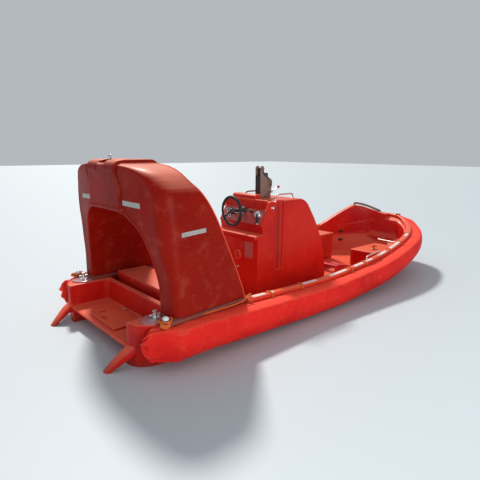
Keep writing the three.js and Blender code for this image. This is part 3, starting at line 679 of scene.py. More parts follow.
class Form:
    """A mesh in the making, in station metres."""

    def __init__(self, mesh: bpy.types.Mesh) -> None:
        """Keeps the mesh.

        Args:
            mesh: the mesh.
        """
        self.mesh = mesh

    @classmethod
    def of(cls, points: Iterable[Point], faces: Iterable[Sequence[int]]) -> "Form":
        """A form from points and faces.

        Args:
            points: the corners.
            faces: the corner numbers of each face.

        Returns:
            The form.
        """
        mesh = bpy.data.meshes.new("form")
        mesh.from_pydata([tuple(map(float, p)) for p in points], [], [tuple(map(int, f)) for f in faces])
        return cls(mesh)

    @classmethod
    def loft(cls, rings: Sequence[Outline], looped: bool = False) -> "Form":
        """A skin through rings, with a sweep map along and round it.

        Args:
            rings: closed outlines with equal numbers of points.
            looped: whether the last ring joins the first; if not, both ends are closed.

        Returns:
            The form.
        """
        grid = np.array(rings, float)
        rows, count = grid.shape[:2]
        faces, sweep = [], []
        middle = grid.mean(axis=1)
        along = np.concatenate([[0], np.cumsum(np.linalg.norm(np.diff(middle, axis=0), axis=1))])
        steps = np.linalg.norm(np.diff(grid[0], axis=0, append=grid[0][:1]), axis=1)
        round_ = np.concatenate([[0], np.cumsum(steps)])
        for r in range(rows if looped else rows - 1):
            far = (r + 1) % rows
            for k in range(count):
                nxt = (k + 1) % count
                faces.append((r * count + k, r * count + nxt, far * count + nxt, far * count + k))
                a, b = along[r], along[r + 1] if r + 1 < rows else along[r] + 0.01
                sweep.append(((a, round_[k]), (a, round_[k + 1]), (b, round_[k + 1]), (b, round_[k])))
        points = grid.reshape(-1, 3).tolist()
        if not looped:
            faces.append(tuple(range(count))[::-1])
            faces.append(tuple((rows - 1) * count + k for k in range(count)))
            sweep += [tuple((0.0, 0.0) for _ in range(count))] * 2
        form = cls.of(points, faces)
        layer = form.mesh.uv_layers.new(name="sweep")
        layer.data.foreach_set("uv", np.array([c for corners in sweep for c in corners], float).ravel())
        bm = bmesh.new()
        bm.from_mesh(form.mesh)
        bmesh.ops.recalc_face_normals(bm, faces=bm.faces)
        bm.to_mesh(form.mesh)
        bm.free()
        return form

    @classmethod
    def slab(cls, outline: Outline, axis: str, low: float, high: float) -> "Form":
        """An outline carried along an axis.

        Args:
            outline: the corners, as [x, z] for y, [x, y] for z and [y, z] for x.
            axis: the axis it is carried along.
            low: where it starts.
            high: where it ends.

        Returns:
            The form.
        """
        place = {"x": lambda a, b, t: (t, a, b), "y": lambda a, b, t: (a, t, b),
                 "z": lambda a, b, t: (a, b, t)}[axis]
        return cls.loft([[place(a, b, t) for a, b in outline] for t in (low, high)])

    @classmethod
    def block(cls, low: Point, high: Point) -> "Form":
        """A box.

        Args:
            low: its low corner.
            high: its high corner.

        Returns:
            The form.
        """
        outline = [(low[0], low[1]), (high[0], low[1]), (high[0], high[1]), (low[0], high[1])]
        return cls.slab(outline, "z", low[2], high[2])

    @classmethod
    def tube(cls, path: Sequence[Point], radius: Union[float, Sequence[float]], sides: int = 16,
             looped: bool = False, flat: float = 1.0) -> "Form":
        """A round bar along a path.

        Args:
            path: its middle line.
            radius: its radius, or one for each point.
            sides: the points of its section.
            looped: whether its ends join.
            flat: how high its section is against its breadth.

        Returns:
            The form.
        """
        spots = [Vector(p) for p in path]
        sizes = [radius] * len(spots) if isinstance(radius, (int, float)) else list(radius)
        rings = []
        normal: Optional[Vector] = None
        for k, spot in enumerate(spots):
            before = spots[k - 1] if k or looped else spot
            after = spots[(k + 1) % len(spots)] if k + 1 < len(spots) or looped else spot
            ahead = (after - before).normalized()
            if normal is None:
                normal = Vector((0, 0, 1)) if abs(ahead.z) < 0.9 else Vector((1, 0, 0))
            normal = (normal - ahead * normal.dot(ahead)).normalized()
            side = ahead.cross(normal)
            rings.append([tuple(spot + (side * cos(t) + normal * (flat * sin(t))) * sizes[k])
                          for t in angles(sides)])
        form = cls.loft(rings, looped=looped)
        data = np.zeros(len(form.mesh.uv_layers[0].data) * 2)
        form.mesh.uv_layers[0].data.foreach_get("uv", data)
        data[1::2] /= max(TURN * sizes[0], 1e-6)
        form.mesh.uv_layers[0].data.foreach_set("uv", data)
        return form

    @classmethod
    def turned(cls, profile: Outline, at: Point, axis: Point = (0, 0, 1), sides: int = 40) -> "Form":
        """A turned form.

        Args:
            profile: [radius, height] from axis to axis.
            at: the axis's foot.
            axis: its direction.
            sides: the points of each ring.

        Returns:
            The form.
        """
        turn = Vector((0, 0, 1)).rotation_difference(Vector(axis)).to_matrix().to_4x4()
        place = Matrix.Translation(Vector(at)) @ turn
        rings = []
        for radius, height in profile:
            radius = max(radius, 1e-5)
            ring = [Vector((radius * cos(a), radius * sin(a), height)) for a in angles(sides)]
            rings.append([tuple(place @ spot) for spot in ring])
        return cls.loft(rings)

    @classmethod
    def ball(cls, radius: float, at: Point, rings: int = 13, sides: int = 24) -> "Form":
        """A ball.

        Args:
            radius: its radius.
            at: its middle.
            rings: its rings from pole to pole.
            sides: the points of each ring.

        Returns:
            The form.
        """
        profile = [(radius * sin(t), -radius * cos(t)) for t in np.linspace(0, pi, rings)]
        return cls.turned(profile, at, sides=sides)

    @classmethod
    def group(cls, forms: Sequence["Form"]) -> "Form":
        """Several forms in the first one's mesh, unjoined."""
        return forms[0].beside(*forms[1:])

    def _with(self, kind: str, **settings: object) -> "Form":
        """Applies a modifier.

        Args:
            kind: the modifier's type.
            **settings: its properties.

        Returns:
            This form, changed.
        """
        work = put("work", self.mesh)
        modifier = work.modifiers.new("change", kind)
        for key, value in settings.items():
            setattr(modifier, key, value)
        graph = bpy.context.evaluated_depsgraph_get()
        self.mesh = bpy.data.meshes.new_from_object(work.evaluated_get(graph))
        bpy.data.objects.remove(work)
        return self

    def _joined_by(self, operation: str, others: Iterable["Form"]) -> "Form":
        """Applies booleans.

        Args:
            operation: the modifier's operation.
            others: the other forms.

        Returns:
            This form, changed.
        """
        for other in others:
            tool = put("tool", other.mesh)
            self._with("BOOLEAN", operation=operation, object=tool, solver="EXACT")
            bpy.data.objects.remove(tool)
        return self

    def cut(self, *others: "Form") -> "Form":
        """Takes the others out of this form."""
        return self._joined_by("DIFFERENCE", others)

    def kept(self, *others: "Form") -> "Form":
        """Keeps what lies in all the others."""
        return self._joined_by("INTERSECT", others)

    def fused(self, *others: "Form") -> "Form":
        """Fuses the others to this form."""
        return self._joined_by("UNION", others)

    def rounded(self, width: float, steps: int = 3, angle: float = 35.0) -> "Form":
        """Rounds the edges.

        Args:
            width: the size of the round.
            steps: its segments.
            angle: the least angle of an edge in degrees.

        Returns:
            This form, changed.
        """
        return self._with("BEVEL", width=width, segments=steps, angle_limit=radians(angle),
                          limit_method="ANGLE", use_clamp_overlap=True)

    def moulded(self, voxel: float, passes: int = 6) -> "Form":
        """Makes one even skin with soft edges.

        Args:
            voxel: the size of its quads.
            passes: how often it is smoothed.

        Returns:
            This form, changed.
        """
        self._with("REMESH", mode="VOXEL", voxel_size=voxel, use_smooth_shade=True)
        return self._with("SMOOTH", factor=0.5, iterations=passes)

    def bent(self, rule: Callable[[Vector], Point]) -> "Form":
        """Moves every corner.

        Args:
            rule: the new place of a corner.

        Returns:
            This form, changed.
        """
        for vertex in self.mesh.vertices:
            vertex.co = rule(vertex.co)
        return self

    def placed(self, matrix: Matrix) -> "Form":
        """Moves the form by a matrix.

        Args:
            matrix: the matrix.

        Returns:
            This form, changed.
        """
        self.mesh.transform(matrix)
        if matrix.determinant() < 0:
            self.mesh.flip_normals()
        return self

    def copy(self) -> "Form":
        """A copy of the form."""
        return Form(self.mesh.copy())

    def other_side(self) -> "Form":
        """A copy mirrored to the other side of the boat."""
        return self.copy().placed(Matrix.Scale(-1, 4, Vector((0, 1, 0))))

    def beside(self, *others: "Form") -> "Form":
        """Puts the others in the same mesh, unjoined.

        Args:
            *others: the other forms.

        Returns:
            This form, changed.
        """
        bm = bmesh.new()
        bm.from_mesh(self.mesh)
        for other in others:
            bm.from_mesh(other.mesh)
        bm.to_mesh(self.mesh)
        bm.free()
        return self

    def piece(self, name: str, finish: Finish, *replaces: str, body: str = "boat",
              slot: Optional[str] = None, crease: Crease = Crease.PLAIN) -> bpy.types.Object:
        """Puts the form into the scene.

        Args:
            name: the piece's name.
            finish: its finish.
            *replaces: the frame's nodes that it stands for.
            body: the body that it rides on.
            slot: the record's material slot, if it isn't the finish's own; not used.
            crease: how sharp an edge stays sharp.

        Returns:
            The object.
        """
        mesh = self.mesh
        mesh.transform(Matrix.Translation((-MIDSHIPS, 0, 0)))
        mesh.name = name
        mesh.materials.clear()
        mesh.materials.append(material_of(finish))
        mesh.polygons.foreach_set("use_smooth", [True] * len(mesh.polygons))
        mesh.set_sharp_from_angle(angle=radians(crease.value))
        mesh.update()
        piece = put(name, mesh)
        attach(piece, body)
        if replaces:
            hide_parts(*replaces)
        slot = finish.value.slot if slot is None else slot
        log.info("%s: %d faces on %s, %s", name, len(mesh.polygons), body, finish.name.lower())
        return piece


def corners(outline: Outline, radius: float, steps: int = 6) -> list[Pair]:
    """Rounds the corners of a flat outline.

    Args:
        outline: the corners.
        radius: how far a round reaches along its sides.
        steps: the segments of a round.

    Returns:
        The rounded outline.
    """
    made = []
    count = len(outline)
    for k in range(count):
        before, spot, after = (Vector(outline[j % count]) for j in (k - 1, k, k + 1))
        reach = min(radius, (before - spot).length * 0.45, (after - spot).length * 0.45)
        start = spot + (before - spot).normalized() * reach
        end = spot + (after - spot).normalized() * reach
        for j in range(steps + 1):
            t = j / steps
            made.append(tuple(start * (1 - t) ** 2 + spot * (2 * t * (1 - t)) + end * t ** 2))
    return made


def curve(points: Sequence[Point], steps: int = 12) -> list[Vector]:
    """A smooth line through points.

    Args:
        points: the points.
        steps: the segments between two of them.

    Returns:
        The line.
    """
    spots = [Vector(p) for p in points]
    spots = [spots[0] * 2 - spots[1], *spots, spots[-1] * 2 - spots[-2]]
    made = []
    for a, b, c, d in zip(spots, spots[1:], spots[2:], spots[3:]):
        for k in range(steps):
            t = k / steps
            made.append(0.5 * ((2 * b) + (c - a) * t + (2 * a - 5 * b + 4 * c - d) * t ** 2
                               + (3 * b - a - 3 * c + d) * t ** 3))
    return [*made, spots[-2]]


def along_table(table: Sequence[Point], at: float) -> float:
    """Reads a table smoothly, level at its peaks.

    Args:
        table: [where, value] rows.
        at: where it is read.

    Returns:
        The value.
    """
    last = len(table) - 2
    k = 0
    while k < last and at > table[k + 1][0]:
        k += 1

    def slope(i: int) -> float:
        """The slope at a row.

        Args:
            i: the row's number.

        Returns:
            The slope, 0 at an end or a peak.
        """
        if i <= 0 or i >= len(table) - 1:
            return 0.0
        before = (table[i][1] - table[i - 1][1]) / (table[i][0] - table[i - 1][0])
        after = (table[i + 1][1] - table[i][1]) / (table[i + 1][0] - table[i][0])
        return 2 * before * after / (before + after) if before * after > 0 else 0.0

    span = table[k + 1][0] - table[k][0]
    t = clamp((at - table[k][0]) / span)
    rise = table[k + 1][1] - table[k][1]
    a, b = slope(k) * span, slope(k + 1) * span
    return table[k][1] + t * (a + t * (3 * rise - 2 * a - b + t * (a + b - 2 * rise)))


# Lines of the hull


@dataclass(frozen=True)
class HullLines:
    """The plan and heights that the hull, lip and collar share."""

    straight: float = 3.48
    half: float = 0.965
    reach: float = 5.775
    power: float = 2.25
    bluff: float = 2.08
    corner: Pair = (0.27, 0.215)
    lip_start: float = 1.245
    lip_height: float = 0.046
    deck: float = 0.425
    collar_depth: float = 0.33
    heights: Table = (
        (0, 0.462), (0.5, 0.461), (2.5, 0.418), (3.5, 0.474), (4.4, 0.586), (4.85, 0.64), (5.2, 0.672),
        (5.56, 0.744), (5.775, 0.83))
    wall: Table = ((4.69, 0.6), (4.85, 0.668), (5.4, 0.97), (5.56, 0.94), (5.775, 0.83))
    deck_end: float = 0.7
    straights: tuple[float, ...] = (0.5, 0.7, 0.95, 1.245, 1.6, 2.0, 2.5, 3.0)

    def sheer(self, x: float) -> float:
        """Height of the lip at a station."""
        return along_table(self.heights, x)

    def gunwale(self, x: float) -> float:
        """Height of the hull's upper edge at a station.

        Args:
            x: the station.

        Returns:
            The height.
        """
        if x <= self.deck_end:
            return self.deck
        there = self.sheer(max(x, self.lip_start)) - self.lip_height
        if x >= self.lip_start:
            return there
        share = (x - self.deck_end) / (self.lip_start - self.deck_end)
        return self.deck + (there - self.deck) * share

    def stations(self, bow: int = 48) -> list[Triple]:
        """Stations as [x, share of the bow's reach, share of the breadth].

        Args:
            bow: the steps round the bow.

        Returns:
            The stations.
        """
        made = []
        length, width = self.corner
        for k in range(13):
            lead = 1 - k / 12
            x = length * (1 - lead)
            made.append((x, 0.0, 1 - width / self.half * (1 - sqrt(max(1 - lead * lead, 0)))))
        made += [(x, 0.0, 1.0) for x in self.straights]
        for k in range(bow + 1):
            turn = k / bow * QUARTER
            share = max(cos(turn), 0) ** (2 / self.bluff)
            made.append((self.straight, sin(turn) ** (2 / self.power), max(share, 0.001)))
        return made

    def edge(self, aft: float, step: float = 0.02) -> list[tuple[Vector, Vector]]:
        """Even spots along the port gunwale with the level direction outboard at each.

        Args:
            aft: the station where it starts.
            step: the distance between spots.

        Returns:
            Pairs of spot and direction, to the middle of the bow.
        """
        raw = []
        for x, share, breadth in self.stations(160):
            at = x + (self.reach - self.straight) * share
            raw.append(Vector((at, self.half * breadth if share < 1 else 0.0, 0)))
        fine = []
        for a, b in zip(raw, raw[1:]):
            count = max(int((b - a).length / step), 1)
            fine += [a.lerp(b, k / count) for k in range(count)]
        fine = [p for p in [*fine, raw[-1]] if p.x >= aft]
        made = []
        for k, spot in enumerate(fine):
            ahead = fine[min(k + 1, len(fine) - 1)] - fine[max(k - 1, 0)]
            last = k == len(fine) - 1
            out = Vector((1, 0, 0)) if last else Vector((-ahead.y, ahead.x, 0)).normalized()
            made.append((Vector((spot.x, spot.y, self.gunwale(spot.x))), out))
        return made

    def carried(self, outline: Outline, aft: float, step: float = 0.02) -> list[list[Triple]]:
        """Carries a section round the whole hull, from port aft to starboard aft.

        Args:
            outline: the section, as [outboard, height] from the gunwale.
            aft: the station where it starts and ends.
            step: the distance between rings.

        Returns:
            The rings.
        """
        port = [[tuple(spot + out * o + raised(h)) for o, h in outline] for spot, out in self.edge(aft, step)]
        star = [[(x, -y, z) for x, y, z in ring] for ring in reversed(port[:-1])]
        return [*port, *star]


LINES = HullLines()


@dataclass
class Hull:
    """The foam filled moulding: shell, cockpit, stern well and quarter pods."""

    sole: float = 0.13
    cockpit_aft: float = 0.54
    well: tuple[float, float, float, float] = (0.469, 0.698, 0.177, 0.055)
    seam: float = 0.62
    levels: Table = (
        (0.13, 0.815, 5.18), (0.3, 0.862, 5.43), (0.43, 0.922, 5.66), (1.3, 0.922, 5.69))
    facet: Table = ((5.43, 0.129), (5.505, 0.4), (5.595, 0.5), (5.64, 0.9), (5.69, 1.301))
    rows: Table = (
        (0.905, 5.6, 0.0, 0.3, 2.2), (0.85, 5.52, -0.04, 0.17, 2.2), (0.43, 5.4, -0.225, 0.02, 2.6),
        (0.012, 5.29, -0.4, -0.13, 3.0))
    pad_outline: Table = (
        (0.096, 0.8), (0.19, 0.716), (0.302, 0.716), (0.302, 0.925), (0.212, 0.925), (0.205, 0.948),
        (0.14, 0.938), (0.082, 0.88))
    tuck: float = 0.09
    lap: float = 0.01
    stern_skin: tuple[float, int] = (0.0105, 4)
    skin: tuple[float, int] = (0.019, 5)
    jet_recess: Table = ((-0.02, 0.148), (0.012, 0.148), (0.165, -0.01), (-0.02, -0.01))

    def shell(self) -> Form:
        """The outer skin as a closed form.

        Returns:
            The form.
        """
        rings = []
        for x, share, breadth in LINES.stations():
            at = x + (LINES.reach - LINES.straight) * share
            top = LINES.gunwale(at)
            foot = LINES.sheer(at) - LINES.lip_height - LINES.collar_depth + 0.01
            ring = [(at, LINES.half * breadth, top),
                    (x + (LINES.reach - 0.025 - LINES.straight) * share, LINES.half * breadth, foot)]
            for half, reach, aft, stem, power in self.rows:
                z = aft + (stem - aft) * share ** power
                z = min(z, LINES.sheer(at) - LINES.collar_depth - self.tuck) if half == self.rows[0][0] else z
                ring.append((x + (reach - LINES.straight) * share, half * breadth, z))
            rings.append(ring + [(a, -b, c) for a, b, c in reversed(ring)])
        return Form.loft(rings)

    def cockpit(self) -> Form:
        """The open space ahead of the stern well.

        Returns:
            The space as a form.
        """
        rings = []
        for z, half, reach in self.levels:
            port = [(self.cockpit_aft, half)]
            for k in range(60):
                turn = k / 60 * QUARTER
                port.append((LINES.straight + (reach - LINES.straight) * sin(turn) ** (2 / LINES.power),
                             half * cos(turn) ** (2 / LINES.bluff)))
            outline = [*port, (reach, 0), *[(x, -y) for x, y in reversed(port)]]
            rings.append([(x, y, z) for x, y in outline])
        aft = self.cockpit_aft - 0.001
        wedge = Form.slab([(aft, self.facet[0][1]), *self.facet, (aft, self.facet[-1][1])], "y", -WIDE, WIDE)
        return Form.loft(rings).kept(wedge)

    def stern_space(self) -> Form:
        """The open well between the quarter pods.

        Returns:
            The space as a form.
        """
        length, half, floor, chamfer = self.well
        outline = [(-0.05, -half), (length - chamfer, -half), (length, chamfer - half),
                   (length, half - chamfer), (length - chamfer, half), (-0.05, half)]
        return Form.slab(outline, "z", floor, 0.9)

    def pad(self, side: int) -> Form:
        """The thin raised pad on a quarter pod.

        Args:
            side: 1 to port, -1 to starboard.

        Returns:
            The form.
        """
        outline = [(x, side * y) for x, y in corners(self.pad_outline, 0.03, 4)]
        return Form.slab(outline, "z", LINES.deck - 0.004, LINES.deck + 0.014)

    def build(self) -> None:
        """Builds and dresses the hull."""
        hollow = Form.slab(self.jet_recess, "y", -0.64, 0.64)
        body = self.shell().cut(self.cockpit(), self.stern_space(), hollow)
        length, half = self.well[:2]
        ledge = Form.block((length + 0.001, 0.02 - half, LINES.deck - 0.005),
                           (self.cockpit_aft + 0.02, half - 0.02, 0.9))
        body.cut(ledge)
        stern = body.copy().kept(Form.block((-0.2, -WIDE, -0.6), (self.seam + self.lap, WIDE, 1.2)))
        ahead = body.kept(Form.block((self.seam - self.lap, -WIDE, -0.6), (6.2, WIDE, 1.4)))
        stern.moulded(*self.stern_skin).piece("hull_stern", Finish.HULL, "hull", "stern_moulding",
                                              crease=Crease.MOULDED)
        nodes = ["hull", "hull_side_port", "hull_side_starboard", "bow_moulding"]
        ahead.moulded(*self.skin).piece("hull_moulding", Finish.HULL, *nodes, crease=Crease.MOULDED)
        for name, side in SIDES:
            pad = self.pad(side).rounded(0.004, 2)
            pad.piece(f"quarter_pad_{name}", Finish.PAD)


@dataclass
class FenderCollar:
    """The foam fender in its fabric cover, with gathered ends."""

    start: float = 0.12
    outline: Table = (
        (0.0, -0.004), (0.06, -0.004), (0.212, -0.018), (0.232, -0.046), (0.236, -0.2), (0.16, -0.33),
        (0.0, -0.33))
    step: float = 0.016
    folds: int = 8
    depth: float = 0.04
    ridge: float = 0.0075
    grain: float = 0.0024
    sunk: float = 0.003
    fade: float = 0.25
    gather: float = 0.044

    def section(self) -> list[Pair]:
        """The section with even points, rounded corners and slightly filled faces.

        Returns:
            The section, as [outboard, height] from the gunwale.
        """
        spots = [Vector(p) for p in corners(self.outline, 0.016, 3)]
        made = []
        for a, b in zip(spots, [*spots[1:], spots[0]]):
            span = (b - a).length
            count = max(int(span / 0.016), 1)
            normal = Vector((-(b - a).y, (b - a).x)).normalized() if span > 1e-6 else Vector((0, 0))
            for k in range(count):
                t = k / count
                swell = 0.007 * sin(pi * t) if count > 3 and min(a.x, b.x) > 0.02 else 0.0
                made.append(tuple(a.lerp(b, t) + normal * swell))
        return made

    def wrinkle(self, spot: Vector, away: float) -> float:
        """How far the cover stands out at a spot.

        Args:
            spot: the spot.
            away: its distance from the nearest end.

        Returns:
            The distance in metres.
        """
        bold = 0.3 + 0.9 * max(noise.noise(Vector((spot.x * 0.9, spot.y * 0.6, 3.1))) + 0.35, 0)
        near = exp(-away / self.fade)
        slant = noise.noise(Vector((spot.x * 6 + spot.z * 8, spot.y * 4, spot.z * 5 - spot.x * 3)))
        ridge = max(0.0, 1 - abs(slant) * 5.0) ** 1.6
        fine = noise.noise(spot * 17)
        return self.ridge * ridge * (bold + 1.2 * near) + self.grain * fine * bold - self.sunk

    def pleat(self, share: float) -> float:
        """How far a gathered fold stands out.

        Args:
            share: the place round the section, from 0 to 1.

        Returns:
            A value from -0.5 to 0.5.
        """
        turn = (share * self.folds + 0.22 * sin(9 * share)) % 1.0
        return (turn / 0.72 if turn < 0.72 else (1 - turn) / 0.28) - 0.5

    def end(self, ring: Sequence[Vector]) -> list[list[Triple]]:
        """The gathered end beyond the first ring.

        Args:
            ring: the first ring of the cover.

        Returns:
            Rings from the gather's middle to that ring.
        """
        middle = sum(ring, Vector()) / len(ring)
        side = 1 if middle.y > 0 else -1
        knot = middle + Vector((0, -0.04 * side, 0.03))
        made = []
        steps = 22
        for j in range(steps):
            share = j / steps
            rings = []
            for k, spot in enumerate(ring):
                fold = self.gather * self.pleat(k / len(ring)) * sin(pi * min(share * 0.8 + 0.2, 1))
                out = knot.lerp(spot, share ** 0.7)
                swell = self.depth * sqrt(max(1 - share ** 2.4, 0))
                rings.append((spot.x - swell - fold, out.y, out.z))
            made.append(rings)
        return made

    def slanted(self, spot: Vector) -> Vector:
        """Draws the outer corner of an end in, so that the end faces aft and outboard.

        Args:
            spot: a spot of the cover.

        Returns:
            Its new place.
        """
        share = clamp((0.29 - spot.x) / (0.29 - self.start))
        middle = 0.99
        reach = max(abs(spot.y) - middle, 0)
        drawn = 1 - 0.56 * share ** 1.15
        lift = 1 - 0.12 * share ** 1.4
        return Vector((spot.x, copysign(abs(spot.y) - reach * (1 - drawn), spot.y),
                       0.25 + (spot.z - 0.25) * lift))

    def build(self) -> None:
        """Builds and dresses the collar."""
        rings = [[Vector(p) for p in ring] for ring in LINES.carried(self.section(), self.start, self.step)]
        total = len(rings)
        grid = []
        for r, ring in enumerate(rings):
            middle = sum(ring, Vector()) / len(ring)
            away = min(r, total - 1 - r) * self.step
            fresh = []
            for k, spot in enumerate(ring):
                out = (spot - middle).normalized()
                stand = self.wrinkle(spot, away) + 0.016 * self.pleat(k / len(ring)) * max(1 - away / 0.2, 0)
                fresh.append(tuple(self.slanted(spot + out * stand)))
            grid.append(fresh)
        port = self.end([Vector(p) for p in grid[0]])
        star = list(reversed(self.end([Vector(p) for p in grid[-1]])))
        cover = Form.loft([*port, *grid, *star])
        made = cover.piece("fender_cover", Finish.FENDER, "fender_collar", crease=Crease.SOFT)


@dataclass
class GunwaleTrim:
    """The rounded lip with its tape, lashings and rope."""

    outline: Table = (
        (-0.034, 0.0), (0.056, 0.0), (0.058, 0.022), (0.046, 0.04), (0.026, 0.046), (-0.014, 0.046),
        (-0.03, 0.038), (-0.036, 0.02))
    tapes: Table = (
        (1.31, 1.53), (1.6, 1.66), (2.12, 2.41), (2.66, 3.02), (3.2, 3.4), (3.46, 3.66), (3.78, 4.04),
        (4.14, 4.5), (4.82, 5.04))
    lashings: tuple[float, ...] = (1.27, 1.57, 2.09, 3.1, 3.44, 4.1, 4.52, 5.0)
    tape_top: Table = ((-0.004, 0.0463), (0.008, 0.0468), (0.026, 0.0466), (0.0362, 0.0437), (0.041, 0.0412))
    lashing_loop: Table = (
        (0.06, 0.004), (0.062, 0.024), (0.049, 0.044), (0.026, 0.051), (-0.014, 0.051), (-0.034, 0.042),
        (-0.041, 0.02), (-0.04, -0.012))
    lifeline_run: Table = (
        (0.3, 1.046, 0.447), (0.42, 1.052, 0.444), (0.6, 1.047, 0.44), (0.8, 1.044, 0.437),
        (1.0, 1.037, 0.436), (1.12, 1.03, 0.444), (1.2, 1.02, 0.462), (1.255, 1.0, 0.48), (1.3, 0.985, 0.478))
    tail: Table = ((0.062, 0, 0.006), (0.085, 0.006, 0.004), (0.118, -0.004, -0.001), (0.142, 0.012, -0.006))

    def spot_at(self, x: float, side: int) -> tuple[Vector, Vector]:
        """The gunwale's spot and outboard direction at a station.

        Args:
            x: the station.
            side: 1 to port, -1 to starboard.

        Returns:
            The spot and the direction.
        """
        run = LINES.edge(LINES.lip_start - 0.05)
        spot, out = min(run, key=lambda pair: abs(pair[0].x - x))
        return Vector((spot.x, side * spot.y, spot.z)), Vector((out.x, side * out.y, 0))

    def tape(self, side: int) -> Form:
        """The tape strips of one side as one form.

        Args:
            side: 1 to port, -1 to starboard.

        Returns:
            The form.
        """
        run = LINES.edge(LINES.lip_start)
        strips = []
        for low, high in self.tapes:
            if side > 0 and high > LINES.wall[0][0]:
                continue
            rings = []
            for spot, out in run:
                if not low <= spot.x <= high:
                    continue
                base = Vector((spot.x, side * spot.y, spot.z))
                away = Vector((out.x, side * out.y, 0))
                upper = [base + away * o + raised(h + 0.0006) for o, h in self.tape_top]
                lower = [p - raised(0.003) for p in reversed(upper)]
                rings.append([tuple(p) for p in [*upper, *lower]])
            strips.append(Form.loft(rings))
        return Form.group(strips)

    def bulwark(self) -> Form:
        """The raised wall on the port bow's lip, flush with the cockpit's wall under it.

        Returns:
            The form.
        """
        rings = []
        places, tops = zip(*LINES.wall)
        facet = Hull().facet
        for spot, out in LINES.edge(places[0]):
            top = max(float(np.interp(spot.x, places, tops)) - spot.z, 0.03)
            hang = -0.075 * min((spot.x - places[0]) / 0.2, 1.0)
            share = (spot.x - LINES.straight) / (LINES.reach - LINES.straight)
            inner = -0.003 - 0.09 * share * out.x - 0.043 * spot.y / LINES.half * out.y
            outline = corners([(inner, hang), (-0.03, hang - 0.006), (-0.026, 0.01), (0.044, 0.01),
                               (0.048, top - 0.014), (0.036, top), (inner + 0.012, top),
                               (inner, top - 0.012)], 0.008, 3)
            ring = []
            for o, h in outline:
                at = spot + out * o + raised(h)
                limit = float(np.interp(at.z, [z for _, z in facet], [x for x, _ in facet])) - 0.002
                ring.append((min(at.x, limit) if o < -0.031 else at.x, at.y, at.z))
            rings.append(ring)
        return Form.loft(rings)

    def lashing(self, x: float, side: int) -> Form:
        """A twine lashing round the lip with its tail on the collar.

        Args:
            x: its station.
            side: 1 to port, -1 to starboard.

        Returns:
            The form.
        """
        spot, out = self.spot_at(x, side)
        ahead = Vector((1, 0, 0)) if abs(out.x) < 0.2 else Vector((out.y * side, -out.x * side, 0))
        turns = []
        for turn in range(2):
            shift = ahead * (0.011 * turn)
            path = [spot + shift + ahead * (0.018 * k / 8) + out * o + raised(h)
                    for k, (o, h) in enumerate(self.lashing_loop)]
            turns.append(Form.tube(curve(path, 6), 0.0042, 8))
        tail = [spot + out * o + ahead * a + raised(h) for o, a, h in self.tail]
        turns.append(Form.tube(curve(tail, 6), 0.004, 8))
        return Form.group(turns)

    def lifeline(self, side: int) -> Form:
        """The rope that runs along the canopy's foot.

        Args:
            side: 1 to port, -1 to starboard.

        Returns:
            The form.
        """
        path = curve([(x, side * y, z) for x, y, z in self.lifeline_run], 10)
        return Form.tube(path, 0.0075, 12)

    def build(self) -> None:
        """Builds and dresses the trim."""
        lip = Form.loft(LINES.carried(corners(self.outline, 0.008, 3), LINES.lip_start, 0.03))
        lip.piece("lip", Finish.LIP, "gunwale_lip", crease=Crease.MOULDED)
        self.bulwark().piece("bow_bulwark", Finish.HULL, "gunwale_lip", crease=Crease.MOULDED)
        for name, side in SIDES:
            self.tape(side).piece(f"lip_tape_{name}", Finish.TAPE)
            ties = [self.lashing(x, side) for x in self.lashings if side < 0 or x < LINES.wall[0][0]]
            Form.group(ties).piece(f"lashings_{name}", Finish.TWINE, crease=Crease.ROUND)
            self.lifeline(side).piece(f"lifeline_{name}", Finish.ROPE, crease=Crease.ROUND)


